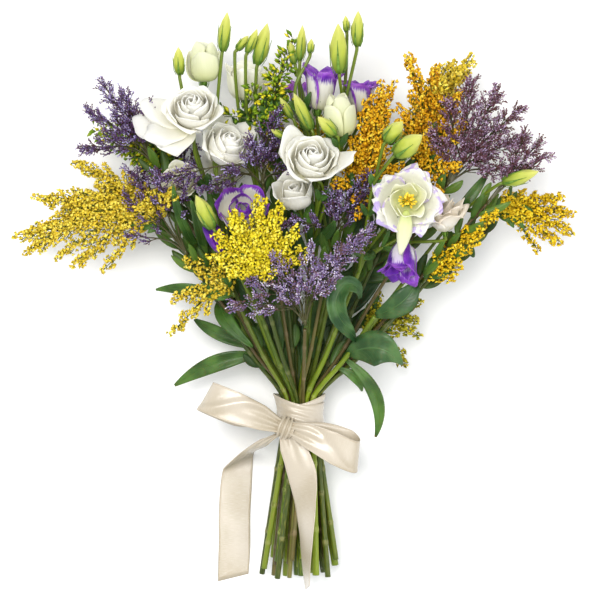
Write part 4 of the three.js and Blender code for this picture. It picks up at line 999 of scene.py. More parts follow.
# Blooms. Layers go by the kind of bloom, but folded and withered petals have some of their own.
# They run from the innermost petals outwards: how many, the profile from root to rim as
# distance from the axis and height in parts of the bloom's width and height, how wide, how blunt,
# and how far the rim rolls outwards.
FINE_LAYERS = {
    "tulip": [
        (3, ((0.03, 0.1), (0.34, 0.12), (0.42, 0.8), (0.02, 0.93)), 0.34, 0.7, 0.0),
        (3, ((0.03, 0.1), (0.5, 0.1), (0.54, 0.75), (0.24, 0.99)), 0.42, 0.75, 0.0),
        (3, ((0.03, 0.1), (0.56, 0.05), (0.6, 0.5), (0.46, 0.78)), 0.5, 0.8, 0.02),
    ],
    "folded": [
        (3, ((0.03, 0.1), (0.42, 0.12), (0.46, 0.62), (0.1, 0.98)), 0.34, 0.35, 0.0),
        (4, ((0.03, 0.1), (0.56, 0.08), (0.62, 0.6), (0.24, 1.0)), 0.42, 0.4, 0.05),
    ],
    "withered": [
        (3, ((0.03, 0.1), (0.5, 0.1), (0.4, 0.6), (0.6, 0.97)), 0.5, 0.6, 0.08),
        (5, ((0.03, 0.1), (0.7, 0.1), (0.6, 0.5), (1.05, 0.84)), 0.66, 0.6, 0.16),
    ],
    "cup": [
        (3, ((0.03, 0.12), (0.2, 0.12), (0.2, 0.5), (0.1, 0.8)), 0.26, 0.7, 0.0),
        (3, ((0.03, 0.12), (0.34, 0.1), (0.32, 0.55), (0.24, 0.88)), 0.36, 0.75, 0.02),
        (4, ((0.03, 0.1), (0.48, 0.04), (0.46, 0.55), (0.46, 0.95)), 0.42, 0.8, 0.05),
    ],
    "plain": [
        (3, ((0.03, 0.12), (0.24, 0.12), (0.24, 0.5), (0.14, 0.84)), 0.28, 0.7, 0.0),
        (3, ((0.03, 0.12), (0.4, 0.1), (0.37, 0.55), (0.3, 0.92)), 0.38, 0.75, 0.02),
        (4, ((0.03, 0.1), (0.5, 0.04), (0.46, 0.55), (0.48, 0.98)), 0.42, 0.8, 0.05),
    ],
    "bell": [
        (3, ((0.03, 0.1), (0.34, 0.12), (0.24, 0.7), (0.3, 0.92)), 0.3, 0.8, 0.04),
        (5, ((0.03, 0.1), (0.42, 0.1), (0.3, 0.72), (0.48, 0.96)), 0.36, 0.85, 0.07),
    ],
    "rose": [
        (3, ((0.02, 0.14), (0.12, 0.2), (0.13, 0.78), (0.04, 1.0)), 0.19, 0.8, 0.0),
        (3, ((0.03, 0.13), (0.21, 0.16), (0.22, 0.74), (0.12, 0.99)), 0.27, 0.8, 0.01),
        (3, ((0.03, 0.12), (0.3, 0.1), (0.31, 0.7), (0.22, 0.96)), 0.34, 0.8, 0.03),
        (4, ((0.03, 0.1), (0.38, 0.04), (0.38, 0.62), (0.33, 0.88)), 0.36, 0.8, 0.05),
        (4, ((0.03, 0.1), (0.43, 0.0), (0.44, 0.48), (0.45, 0.7)), 0.41, 0.8, 0.07),
    ],
    "open": [
        (4, ((0.03, 0.14), (0.18, 0.12), (0.27, 0.5), (0.24, 0.92)), 0.27, 0.7, 0.02),
        (4, ((0.03, 0.1), (0.3, 0.02), (0.42, 0.3), (0.46, 0.66)), 0.38, 0.55, 0.03),
        (5, ((0.03, 0.1), (0.3, 0.02), (0.42, 0.22), (0.51, 0.45)), 0.37, 0.5, 0.03),
    ],
}
# Further petals of some blooms, as their angle round the axis and their layer
FLARED_HIGH = (1, ((0.03, 0.1), (0.4, -0.05), (0.62, 0.34), (0.86, 0.5)), 0.32, 0.9, 0.06)
FLARED_FAR = (1, ((0.03, 0.1), (0.4, -0.1), (0.7, 0.1), (1.02, 0.16)), 0.34, 0.9, 0.07)
FLARED_LOW = (1, ((0.03, 0.1), (0.4, -0.05), (0.62, 0.2), (0.86, 0.24)), 0.32, 0.9, 0.07)
FLARED_UNDER = (1, ((0.03, 0.1), (0.38, -0.12), (0.56, -0.02), (0.76, 0.02)), 0.3, 0.9, 0.06)
STANDING = (1, ((0.03, 0.1), (0.46, 0.0), (0.5, 0.5), (0.64, 1.0)), 0.36, 0.9, 0.04)
SIDEWAYS = (1, ((0.03, 0.1), (0.4, 0.05), (0.5, 0.6), (0.74, 0.98)), 0.28, 0.8, 0.02)
CRUMPLED = (1, ((0.03, 0.1), (0.9, 0.2), (0.8, 0.6), (1.3, 0.66)), 0.85, 0.8, 0.1)
MORE_PETALS = {
    "bloom_white_rose_left": [(math.pi - 0.28, FLARED_HIGH), (math.pi + 0.06, FLARED_FAR),
                              (math.pi + 0.45, FLARED_LOW), (math.pi + 0.85, FLARED_UNDER)],
    "bloom_white_rose_middle": [(0.5, STANDING), (1.5, STANDING)],
    "bloom_white_rose_front": [(2.3, STANDING), (-0.15, SIDEWAYS)],
    "bloom_withered": [(0.4, CRUMPLED), (1.9, CRUMPLED), (3.6, CRUMPLED), (5.1, CRUMPLED)],
}
# How much more ruffled those petals are, and how far their corners are cut
FRILL = 1.9
ROUNDING = 0.24
PETAL_THICKNESS = 0.5
PETAL_STEPS = 12
STAMENS = 22
# The root, tip, width and rise of a long pale petal that stands up from the open bloom
TURNED_UP_PETAL = (vec(83, 72, 134), vec(78.5, 37, 126), 12, (1, 2, 3))
# How strongly petals are ruffled, by the kind of petal or bloom
RUFFLES = {"withered": 0.15, "bell": 0.1, "open": 0.05, "rose": 0.032}
FAINT_RUFFLE = 0.03


def petal_outline(v, tip):
    """How wide a petal is at v, as a share of its widest. tip is that share at its end."""
    body = 0.14 + 0.86 * np.sin(math.pi / 2 * np.minimum(v / 0.62, 1))
    return body - (1 - tip) * np.maximum(0, (v - 0.55) / 0.45) ** 2.4


def add_petal(parts, material, one, layer, angle, random, frill=1.0, rounding=0.0):
    """A petal that follows its layer's profile and curls round the axis of the bloom. frill makes its
    ruffles stronger, and rounding cuts its corners."""
    _, profile, width, tip, roll = layer
    tone = random()
    look, wide, high = one.look, one.wide, one.high
    right, up = right_and_up(look)
    outwards = around(right, up, angle)
    sideways = around(up, -right, angle)
    phase = random() * ROUGH_TURN
    lean = (random() - 0.5) * 0.05 * wide
    ruffle = frill * wide * RUFFLES.get(one.petal, RUFFLES.get(one.kind, FAINT_RUFFLE))
    waves = 1.6 + 1.6 * random()
    tight = 0.26 if one.kind == "bell" else 0.1
    scale = 0.96 + 0.05 * random()
    corners = [np.array(corner) * (wide, high) for corner in profile]

    def place(u, v):
        path = cubic(*corners, v * (1 - rounding * np.abs(u) ** 2.4))
        radius, height = path[..., 0] * scale, path[..., 1] * scale
        lip = smoothstep(0.72, 1.0, v)
        radius = radius + roll * wide * lip ** 2
        height = height - 0.6 * roll * wide * lip ** 3
        curl = np.maximum(radius, tight * wide)
        turn = u * width * wide * petal_outline(v, tip) / curl
        reach = curl + 0.04 * wide * u
        lifted = radius - curl + reach * np.cos(turn)
        dip = 0.13 * high * v ** 4 * np.abs(u) ** 2.2
        wave = ruffle * v ** 3 * np.sin(waves * u * 2 + phase) * (0.4 + 0.6 * np.abs(u))
        rise = PETAL_LIFT + height - dip + 0.6 * wave
        return (one.base + look * rise[..., None] + outwards * (lifted + wave + lean * v)[..., None]
                + sideways * (reach * np.sin(turn))[..., None])

    def nearness(u, v):
        gap = np.minimum((1 - v) * 1.25, (1 - np.abs(u)) * 0.8 + (1 - v) * 0.3)
        return np.clip(1 - gap, 0, 1)

    add_blade(parts, material, place, PETAL_STEPS, PETAL_STEPS, PETAL_THICKNESS, tone, marks=nearness)


def add_heart(parts, one):
    """The green ovary that the petals stand on."""
    heights = np.linspace(0, 1, 7)
    radii = np.interp(heights, [0, 0.3, 1], [0.07, 0.1, 0.02]) * one.wide
    points = one.base + one.look * (SEAT_GAP + heights * 0.4 * one.high)[:, None]
    add_tube(parts, SEPAL_GREEN, points, radii, 10)


def add_stamens(parts, one, random):
    """Stamens with their anthers, spread by the golden angle."""
    look = one.look
    right, up = right_and_up(look)
    for i in range(STAMENS):
        out = around(right, up, i * GOLDEN_ANGLE)
        reach = 0.05 + 0.075 * random()
        foot = one.base + look * one.high * 0.3
        head = foot + look * one.high * (0.36 + 0.14 * random()) + out * reach * one.wide
        middle = mix(foot, head, 0.5) + look * 1.2
        add_tube(parts, ANTHER, smooth_line([foot, middle, head], 3), 0.28, 5)
        along = unit(look * 0.6 + out)
        anther = [head + along * way for way in (-1.4, -0.7, 0.7, 1.4)]
        add_tube(parts, ANTHER, anther, [0.3, 0.85, 0.85, 0.3], 6, random())


def make_bloom(one, seed):
    slot, petal = PETALS[one.petal]
    random = random_from(seed)
    parts = Parts()
    for index, layer in enumerate(FINE_LAYERS.get(one.petal, FINE_LAYERS[one.kind])):
        start = index * 0.9 + one.wide
        material = PALE_GREEN_PETAL if one.kind == "open" and index == 0 else petal
        for i in range(layer[0]):
            angle = start + TURN * i / layer[0] + (random() - 0.5) * 0.25
            add_petal(parts, material, one, layer, angle, random)
    for angle, layer in MORE_PETALS.get(one.name, []):
        add_petal(parts, petal, one, layer, angle, random, FRILL, ROUNDING)
    add_heart(parts, one)
    if one.kind == "open":
        add_stamens(parts, one, random)
        add_leaf(parts, PALE_GREEN_PETAL, *TURNED_UP_PETAL, tone=0.5, fold=-0.4, wave=0.02, rows=14)
    make_piece(one.name + "_petals", parts, slot, one.name)


# Stems, with buds, sepals and leaves
LOW_FLOWER_RADIUS = 2.9
LOW_SPRAY_RADIUS = 2.35
SEPALS = 5
SEPAL_THICKNESS = 0.5
LEAF_THICKNESS = 0.6
# Leaves wider than this are blue-green and narrow evenly towards their tips
BROAD = 15


def stem_profile(line, is_spray):
    """A smooth stem line with its radii, and how near each point is to a swollen joint."""
    points = smooth_line(line, 5)
    length = lengths_along(points)
    share = length / length[-1]
    low_radius = LOW_SPRAY_RADIUS if is_spray else LOW_FLOWER_RADIUS
    y = points[:, 1]
    above_tie = np.interp(y, [TIE_Y, 0, line[-1][1]], [low_radius * 0.9, 1.9, 1.4])
    near_tie = np.exp(-((y - TIE_Y) / RIBBON_WIDTH) ** 2)
    radii = np.where(y < TIE_Y, low_radius, above_tie) * (1 - near_tie * 0.08)
    knots = np.zeros(len(points))
    pitch = 43 + 11 * math.sin(line[1][0] * 3.1 + line[1][2])
    for joint in np.arange(pitch * 0.7, length[-1], pitch):
        knots = np.maximum(knots, np.exp(-((length - joint) / 2.2) ** 2))
    return points, radii * (1 + 0.22 * knots) * (1 - 0.12 * share), knots


def dense(line, spacing):
    """The same line with a point about every so many millimetres."""
    line = np.asarray(line)
    length = lengths_along(line)
    wanted = np.linspace(0, length[-1], max(int(length[-1] / spacing), 2) + 1)
    return resampled(line, length, wanted)


def add_stem(parts, material, name, is_spray, slim=1.0):
    """A stem with scarred joints, so many times as thick as its profile."""
    line = dense(smooth_line(STALKS[name], 9), 4.0)
    points, radii, knots = stem_profile(line[::3] if len(line) > 12 else line, is_spray)
    tone = 0.5 + 0.5 * math.sin(line[0][0] * 1.3 + line[0][2] * 2.1)
    add_tube(parts, material, points, radii * slim, 9, tone, knots[:, None])


def add_branch(parts, line, flare):
    """A branch of a flower stem that widens under its bloom or bud to the radius flare."""
    points = smooth_line(line, 5)
    radii = np.full(len(points), BRANCH_RADIUS * 1.15)
    radii[-2:] = [BRANCH_RADIUS * 1.35, flare]
    add_tube(parts, STEM_GREEN, points, radii, 8, 0.8)


def add_sepals(parts, base, look, wide, high, spread, turn):
    """Slim sepals round a bud or the foot of a bloom. spread is how far their tips stand off."""
    right, up = right_and_up(look)
    for i in range(SEPALS):
        angle = turn + TURN * i / SEPALS
        out = around(right, up, angle)
        aside = around(up, -right, angle)

        def place(u, v):
            belly = np.interp(v, [0, 0.25, 0.7, 1], [0.3, 0.5, 0.53, 0.5 + spread])
            half = 0.075 * wide * (0.5 + 0.9 * np.sin(math.pi * np.minimum(v + 0.12, 1))) * (1.02 - v)
            return (base + look * (v * high)[..., None] + out * (belly * wide)[..., None]
                    + aside * (u * (half + 0.12))[..., None])

        add_blade(parts, SEPAL_GREEN, place, 2, 8, SEPAL_THICKNESS)


def add_bud(parts, one):
    """A bud of petals twisted round each other, held by slim sepals."""
    look = unit(one.tip - one.base)
    high = size(one.tip - one.base)
    rows, sides = 18, 20
    share = np.linspace(0, 1, rows + 1)
    radii = np.interp(share, [0, 0.1, 0.3, 0.55, 0.8, 0.94, 1],
                      [0.32, 0.72, 0.98, 0.95, 0.6, 0.24, 0.05]) * one.wide / 2
    right, up = right_and_up(look)
    angle = TURN * np.arange(sides) / sides
    twist = 2.2 * share[:, None]
    fold = 1 + 0.10 * np.cos(5 * (angle[None, :] - twist)) * share[:, None] ** 0.5
    ring = right * np.cos(angle)[:, None] + up * np.sin(angle)[:, None]
    middles = one.base + look * (share * high)[:, None, None]
    points = middles + ring * (radii[:, None] * fold)[..., None]
    place = np.stack(np.broadcast_arrays(angle[None, :] / ROUGH_TURN, share[:, None], 0.0), axis=2)
    parts.add(BUD_GREEN, points, [grid_faces(rows, sides, wrap=True)], 0.5, place)
    ends = np.concatenate([points[0], one.base[None], points[-1], (one.tip + look * 0.4)[None]])
    turn = np.arange(sides)
    caps = np.concatenate([fan(turn, sides, flip=True), fan(turn + sides + 1, 2 * sides + 1)])
    end_place = np.zeros((len(ends), 3))
    end_place[sides + 1:, 1] = 1
    parts.add(BUD_GREEN, ends, [caps], 0.5, end_place)
    add_sepals(parts, one.base, look, one.wide * 0.98, high * 0.66, 0.06, one.wide)


# A leaf that curls round like a scroll beside the big one: its middle line and its widths
SCROLL = [
    ((48, 3, 92), 3), ((46, 11, 101), 9), ((37, 14, 107), 14), ((29, 4, 109), 16), ((30, -9, 106), 16),
    ((36, -19, 98), 13), ((43, -27, 86), 9), ((46, -32, 70), 3),
]
SCROLL_HEART = (43, -1, 92)


def on_stalk(name, wanted):
    """The point of a stem that is nearest to the one wanted."""
    points = list(STALKS[name])
    points[-1] = mix(points[-2], points[-1], HIGHEST_JOINT)
    found = []
    for a, b in zip(points, points[1:]):
        span = b - a
        t = min(max(float((wanted - a) @ span) / float(span @ span), 0), 1)
        found.append(a + span * t)
    return min(found, key=lambda point: size(point - wanted))


def add_leaf(parts, material, root, tip, wide, rise, tone, fold=0.24, wave=0.06, rows=20, columns=6):
    """A leaf from root to tip that rises between them, folded up along its midrib and waved at its
    edges."""
    control = mix(root, tip, 0.5) + vec(*rise) * 2
    phase = float(root[0] + tip[1])

    def place(u, v):
        t = v[..., None]
        point = (1 - t) ** 2 * root + 2 * t * (1 - t) * control + t ** 2 * tip
        along = 2 * (1 - t) * (control - root) + 2 * t * (tip - control)
        across = units(np.cross(along, UP))
        half = wide / 2 * (0.10 + 0.90 * np.sin(math.pi * np.minimum(v * 0.955 + 0.035, 1)) ** 0.85)
        if wide > BROAD:
            half = half * (1 - 0.6 * np.maximum(0, (v - 0.45) / 0.55) ** 1.3)
        lift = fold * np.abs(u) * half + wave * wide * np.sin(9 * v + phase) * np.abs(u) ** 2
        return point + across * (u * half)[..., None] + UP * lift[..., None]

    add_blade(parts, material, place, columns, rows, LEAF_THICKNESS, tone)


def add_scroll(parts):
    """The curled leaf: a band whose inner edge turns up round its heart."""
    middles = smooth_line([middle for middle, _ in SCROLL], 5)
    rows = len(middles) - 1
    widths = np.interp(np.linspace(0, len(SCROLL) - 1, rows + 1), np.arange(len(SCROLL)),
                       [width for _, width in SCROLL])
    along = np.gradient(middles, axis=0)
    outwards = middles - vec(*SCROLL_HEART)
    outwards[:, 2] *= 0.3
    across = units(outwards - along * (np.einsum("ij,ij->i", outwards, along)
                                       / np.einsum("ij,ij->i", along, along))[:, None])

    def place(u, v):
        row = row_at(v, rows)
        half = widths[row] / 2
        lift = half * (0.75 * u ** 2 - 0.5 * u)
        return middles[row] + across[row] * (u * half)[..., None] + UP * lift[..., None]

    add_blade(parts, BIG_LEAF_GREEN, place, 8, rows, LEAF_THICKNESS, 0.2)


def add_paired_leaves(parts, line, random):
    """Two small leaves that face each other at about the middle of a branch."""
    point, along = along_line(line, 0.3 + 0.25 * random())
    side = unit(np.cross(along, UP)) * (1 if random() < 0.5 else -1)
    for way in (-1, 1):
        long = 11 + 8 * random()
        aside = side * way * long * (0.35 + 0.3 * random())
        tip = point + along * long * 0.8 + aside + UP * long * 0.2
        wide = 4 + 2 * random()
        add_leaf(parts, LEAF_GREEN, point, tip, wide, UP * 1.5, 0.7 * random(),
                 fold=0.3, wave=0.03, rows=7, columns=4)


def make_flower_stem(one):
    name = one.name
    random = random_from(len(name) * 7 + int(one.top[1]))
    parts = Parts()
    add_stem(parts, STEM_GREEN, name, False)
    for i, line in enumerate(one.branches):
        on_bloom = i < len(one.blooms)
        add_branch(parts, line, flare=2.3 if on_bloom else 1.3)
        if on_bloom:
            above = BLOOM_OF[one.blooms[i]]
            base = above.base - above.look * 0.6
            add_sepals(parts, base, above.look, above.wide * 0.3, above.high * 0.34, 0.5, 0.4)
        add_paired_leaves(parts, line, random)
    for item in one.buds:
        add_bud(parts, item)
    for root, tip, wide, rise in one.leaves:
        material, tone = (BIG_LEAF_GREEN, 0.4) if wide > BROAD else (LEAF_GREEN, 0.2)
        add_leaf(parts, material, on_stalk(name, vec(*root)), vec(*tip), wide, rise, tone)
    if name == "right_leafy_stem":
        add_scroll(parts)
    make_piece(name + "_green", parts, "leaf" if name.endswith("leafy_stem") else "stem", name)


def add_stem_leaves(parts, name, seed):
    """Narrow leaves up a spray's stem, from a little above the tie to its top."""
    random = random_from(seed)
    line = dense(smooth_line(STALKS[name], 9), 6.0)
    line = line[line[:, 1] > TIE_Y + 26]
    along, side, face = frames_along(line)
    for i in range(len(line) - 1):
        angle = i * GOLDEN_ANGLE + random()
        out = around(side[i], face[i], angle)
        low = 1 - smoothstep(-20, 40, line[i][1])
        long = 19 + 12 * random()
        tip = line[i] + along[i] * long * 0.85 + out * long * (0.42 - 0.2 * low)
        tip = pushed_out(tip, ARM_ROOM, name)
        in_front = out[2] > -0.35 or line[i][2] > TIE_HEIGHT + 14
        middle = mix(line[i], tip, 0.6) + out * 2
        blocked = size(pushed_out(middle, 4, name) - middle) > 0
        if tip[2] < 6 or (low > 0.4 and in_front) or blocked:
            continue
        wide = 5 + 2.4 * random() + 2 * low
        # Low leaves, kept only towards the back, get darker tones: painted shade behind the stems
        tone = random() * (0.3 if low > 0.4 else 1.0)
        add_leaf(parts, NARROW_LEAF_GREEN, line[i], tip, wide, out * 2, tone,
                 fold=0.3, wave=0.02, rows=7, columns=2)


def make_spray_stems():
    parts, back = Parts(), Parts()
    for index, one in enumerate([*GOLDENROD, *SEA_LAVENDER]):
        where = back if one.name == "goldenrod_back" else parts
        material, slim = (SPRAY_GREEN, 1.0) if index < len(GOLDENROD) else (STALK_BROWN, 0.82)
        add_stem(where, material, one.name, True, slim)
        add_stem_leaves(where, one.name, STEM_LEAF_SEED + index)
    make_piece("spray_stems_green", parts, "stem", "spray_stems")
    make_piece("goldenrod_back_stem_green", back, "stem", "goldenrod_back_stem")


# Florets. The pitches are millimetres of an arm to a side shoot.
GOLD_PITCH = 4.2
LAVENDER_PITCH = 3.8
FLORET_LOWEST = 3.5


def closed_floret(root, rim, middle, marks):
    """A small closed shape of a point at the root, a rim and a point in the middle, given by the
    heights of both points. marks says how far up the rim counts for the material."""
    shape = np.array([(0, 0, root), *rim, (0, 0, middle)])
    ring = np.arange(1, len(rim) + 1)
    faces = np.concatenate([fan(ring, 0, flip=True), fan(ring, len(rim) + 1)])
    places = np.zeros((len(shape), 3))
    places[:, 2] = [0, *marks, 0.8]
    return shape, faces, places


def star_floret(points, inner, height, middle):
    """A small star of so many points. inner is how far the notches between them are out."""
    angle = math.pi * np.arange(2 * points) / points
    outer = np.arange(2 * points) % 2 == 0
    reach = np.where(outer, 1.0, inner)
    heights = np.where(outer, height, height * 0.75)
    rim = np.stack([np.cos(angle) * reach, np.sin(angle) * reach, heights], axis=1)
    return closed_floret(-0.5, rim, middle, np.where(outer, 1.0, 0.7))


def cone_floret(radius, length, middle):
    """A slim funnel of three sides."""
    angle = TURN * np.arange(3) / 3
    rim = np.stack([np.cos(angle) * radius, np.sin(angle) * radius, np.full(3, length)], axis=1)
    return closed_floret(0, rim, middle, (1, 1, 1))


GOLD_FLORET = star_floret(3, 0.55, 0.5, 0.75)
GREEN_BUD = cone_floret(0.62, 1.7, 2.9)
LAVENDER_FLORET = cone_floret(0.5, 2.1, 1.5)


def add_florets(parts, material, floret, florets, random):
    """Copies of one floret wherever a spray's florets are clear of blooms, buds and table. Each of
    florets is an origin, a heading, a size and a tone."""
    shape, faces, places = floret
    origins, headings, scales, tones = (np.array(column) for column in zip(*florets))
    far = np.linalg.norm(origins[:, None] - ROOM_CENTRES[None], axis=2)
    clear = np.all(far > ROOM_RADII[None] * 0.93, axis=1) & (origins[:, 2] > FLORET_LOWEST)
    spin = np.array([random() for _ in origins]) * ROUGH_TURN
    axes = axes_for(headings, spin)[clear]
    turned = np.einsum("nij,kj->nki", axes, shape)
    placed = turned * scales[clear, None, None] + origins[clear][:, None]
    offsets = np.arange(len(axes))[:, None, None] * len(shape)
    parts.add(material, placed, [(faces + offsets).reshape(-1, 3)],
              np.repeat(tones[clear], len(shape)), np.tile(places, (len(axes), 1)))


def branchlets(line, count, reach, spread, random, first=0.16):
    """Side shoots round an arm by the golden angle, shorter towards its tip, as root, bow and tip."""
    turn = random() * TURN
    found = []
    for i in range(count):
        share = first + (0.99 - first) * i / max(count - 1, 1)
        point, along = along_line(line, share)
        side = unit(np.cross(along, UP))
        face = np.cross(side, along)
        angle = turn + i * GOLDEN_ANGLE
        lean = spread * (1 - 0.75 * share ** 3) * (0.8 + 0.4 * random())
        out = side * math.cos(angle) + face * math.sin(angle) * 0.75
        heading = unit(along * math.cos(lean) + out * math.sin(lean))
        length = reach * (1 - 0.45 * share) * (0.75 + 0.5 * random())
        tip = point + heading * length
        bow = mix(point, tip, 0.55) + UP * length * 0.12
        found.append((point, bow, tip))
    return found


def add_plumelet(parts, florets, shoot, spacing, radius, each, scale, random):
    """A goldenrod side shoot: florets sit along a thin twig, mostly on its upper side."""
    line = smooth_line(shoot, 3)
    add_tube(parts, SPRAY_GREEN, line, np.linspace(0.5, 0.3, len(line)), 3, 0.4)
    fine = dense(line, spacing)
    along, side, face = frames_along(fine)
    for i in range(1, len(fine)):
        swell = math.sin(math.pi * min(0.14 + 0.8 * i / len(fine), 1)) ** 0.6
        for _ in range(each):
            angle = math.pi * (0.5 + 0.85 * (2 * random() - 1))
            out = around(side[i], face[i], angle)
            heading = out + along[i] * 0.5 + UP * 0.25
            spot = fine[i] + out * radius * swell * (0.35 + 0.7 * random())
            spot = spot + along[i] * (random() - 0.5) * spacing
            florets.append((spot, heading, (1.5 + 0.65 * random()) * scale, random()))


# Arms whose side shoots start late, and arms whose side shoots are short
LATE_ARMS = {(-102, 98, 116): 0.7}
NARROW_ARMS = {
    (190, 44, 60): 0.5, (206, 84, 66): 0.65, (-190, 40, 64): 0.6, (-152, 32, 62): 0.7,
    (-172, 108, 70): 0.8, (50, 52, 118): 0.6, (30, 34, 124): 0.85,
}


def fan_tips(one):
    """The tips of a spray's arms, and of a further arm between each two neighbours."""
    middle = unit(sum(tip - one.top for tip in one.tips))

    def turn(tip):
        x, y, _ = tip - one.top
        return math.atan2(middle[0] * y - middle[1] * x, middle[0] * x + middle[1] * y)

    tips = sorted(one.tips, key=turn)
    between = [mix(one.top, mix(a, b, 0.5), 1.05) for a, b in zip(tips, tips[1:])
               if turn(b) - turn(a) < 1.2 and tuple(a) not in LATE_ARMS and tuple(b) not in LATE_ARMS]
    return tips + between + one.more


def add_arms(parts, material, one, thick, thin, sides, tone):
    """The end of a spray's stem and its arms. Gives the tip and the line of each arm."""
    below = STALKS[one.name][-2]
    add_tube(parts, material, [one.top, one.top + unit(one.top - below) * 5], [1.5, 1.3], 6)
    for tip in fan_tips(one):
        arm = smooth_line(arm_line(one, tip), 6)
        add_tube(parts, material, arm, np.linspace(thick, thin, len(arm)), sides, tone)
        yield tip, arm


# How close florets sit on a goldenrod's side shoots, how far out, how many at a point, and how big
IN_BUD = (2.2, PLUMELET_RADIUS * 0.6, 2, 1.35)
IN_FLOWER = (1.7, PLUMELET_RADIUS * 0.75, 3, 1.0)


def make_goldenrod(one, seed):
    kind, fullness, reach = one.look
    in_bud = kind == "unopened"
    random, parts, florets = random_from(seed), Parts(), []
    for tip, arm in add_arms(parts, SPRAY_GREEN, one, 1.2, 0.5, 6, 0.5):
        count = int(size(tip - one.top) / GOLD_PITCH * fullness)
        for shoot in branchlets(arm, count, reach * NARROW_ARMS.get(tuple(tip), 1), 0.8, random):
            add_plumelet(parts, florets, shoot, *(IN_BUD if in_bud else IN_FLOWER), random)
        add_arm_leaves(parts, arm, 6 if kind == "olive" else 4, random)
    add_florets(parts, FLORETS[kind], GREEN_BUD if in_bud else GOLD_FLORET, florets, random)
    slot = "goldenrod_orange" if kind == "orange" else "goldenrod_yellow"
    make_piece(one.name + "_florets", parts, slot, one.name)


def add_arm_leaves(parts, arm, count, random):
    """Small narrow leaves on alternate sides of the lower half of an arm."""
    for i in range(count):
        point, along = along_line(arm, 0.05 + 0.5 * i / count)
        side = unit(np.cross(along, UP)) * (1 if i % 2 else -1)
        tip = point + (along * 0.8 + side * (0.5 + 0.3 * random()) + UP * 0.25) * (11 + 6 * random())
        wide = 3.6 + 1.5 * random()
        add_leaf(parts, LEAF_GREEN, point, tip, wide, UP * 1.2, 0.4 + 0.6 * random(),
                 fold=0.3, wave=0.03, rows=6, columns=2)


def add_comb(parts, florets, root, heading, random):
    """A short curved spike with papery florets in rows along its upper side."""
    long = CLUSTER_LENGTH * (0.5 + 0.35 * random())
    shade = random()
    side = unit(np.cross(heading, UP))
    face = np.cross(side, heading)
    tip = root + heading * long + face * long * 0.1
    add_tube(parts, TWIG_BROWN, [root, tip], [0.4, 0.25], 3, 0.2)
    count = int(long / 0.85)
    for i in range(count):
        turn = (random() - 0.5) * 1.8 + (0.5 if i % 2 else -0.5)
        out = around(face, side, turn)
        spot = mix(root, tip, (i + 0.5) / count) + out * 0.25
        scale = 1.1 + 0.5 * random()
        tone = min(max(0.7 * shade + 0.6 * random() - 0.15, 0), 1)
        florets.append((spot, out * 0.62 + heading, scale, tone))


def make_sea_lavender(one, seed):
    kind, fullness, first, reach = one.look
    random, parts, florets = random_from(seed), Parts(), []
    for tip, arm in add_arms(parts, TWIG_BROWN, one, 1.0, 0.45, 5, 0.2):
        start = LATE_ARMS.get(tuple(tip), first)
        count = int(size(tip - one.top) / LAVENDER_PITCH * fullness * (1 - start) / 0.7)
        long = reach * NARROW_ARMS.get(tuple(tip), 1)
        for root, bow, end in branchlets(arm, count, long, 0.62, random, start):
            add_tube(parts, TWIG_BROWN, smooth_line([root, bow, end], 2), 0.45, 3, 0.2)
            heading = unit(end - bow)
            for share in (0.05, 0.36, 0.68, 1.0):
                wobble = vec(random() - 0.5, random() - 0.5, random() * 0.6)
                add_comb(parts, florets, mix(bow, end, share), unit(heading + wobble * 1.5), random)
    add_florets(parts, FLORETS[kind], LAVENDER_FLORET, florets, random)
    slot = "sea_lavender_maroon" if kind == "maroon" else "sea_lavender"
    make_piece(one.name + "_florets", parts, slot, one.name)


# The satin ribbon: each station of a strip gives its middle, the direction across it and its width
KNOT_MIDDLE = (-12, -101, 63)
KNOT_LENGTH = 45
LEFT_LOOP = [
    ((-12, -101, 65), (0.1, 1, 0), 9),
    ((-30, -93, 71), (0.25, 0.97, 0), 20),
    ((-54, -84, 74), (0.42, 0.9, 0), 26),
    ((-72, -77, 69), (0.5, 0.86, 0), 26),
    ((-76, -76, 61), (0.5, 0.86, 0), 26),
    ((-68, -80, 54), (0.48, 0.87, 0), 26),
    ((-48, -89, 54), (0.4, 0.9, 0), 24),
    ((-28, -94, 58), (0.25, 0.97, 0), 16),
    ((-12, -101, 61), (0.1, 1, 0), 9),
]
RIGHT_LOOP = [
    ((-12, -101, 65), (0.1, 1, 0), 9),
    ((5, -107, 73), (0.1, 1, 0), 20),
    ((27, -117, 77), (0.2, 0.97, 0.1), 26),
    ((43, -124, 73), (0.14, 0.98, 0.1), 26),
    ((47, -123, 65), (0.08, 0.98, 0.1), 26),
    ((40, -116, 59), (0.14, 0.98, 0.1), 26),
    ((19, -107, 61), (0.1, 1, 0), 20),
    ((-12, -101, 62), (0.1, 1, 0), 9),
]
TAIL_FLAT = 0.45
LEFT_TAIL = [
    ((-12, -103, 61), (0.9, 0.4, 0), 12),
    ((-24, -109, 58), (0.8, 0.2, 0.5), 19),
    ((-37, -119, 42), (0.85, 0.25, 0.42), 24),
    ((-47, -127, 16), (0.86, 0.42, 0.2), 27),
    ((-50, -130, 6), (0.87, 0.47, 0.05), 28),
    ((-51, -133, 1.4), (0.9, 0.42, 0), 27.5),
    ((-52, -142, TAIL_FLAT), (0.98, 0.2, 0), RIBBON_WIDTH),
    ((-53, -156, TAIL_FLAT), (1, 0, 0), RIBBON_WIDTH),
    ((-54, -175, TAIL_FLAT), (1, 0, 0), RIBBON_WIDTH),
    ((-54, -200, TAIL_FLAT), (1, 0, 0), RIBBON_WIDTH),
    ((-55, -227, TAIL_FLAT), (0.97, 0.24, 0), RIBBON_WIDTH),
]
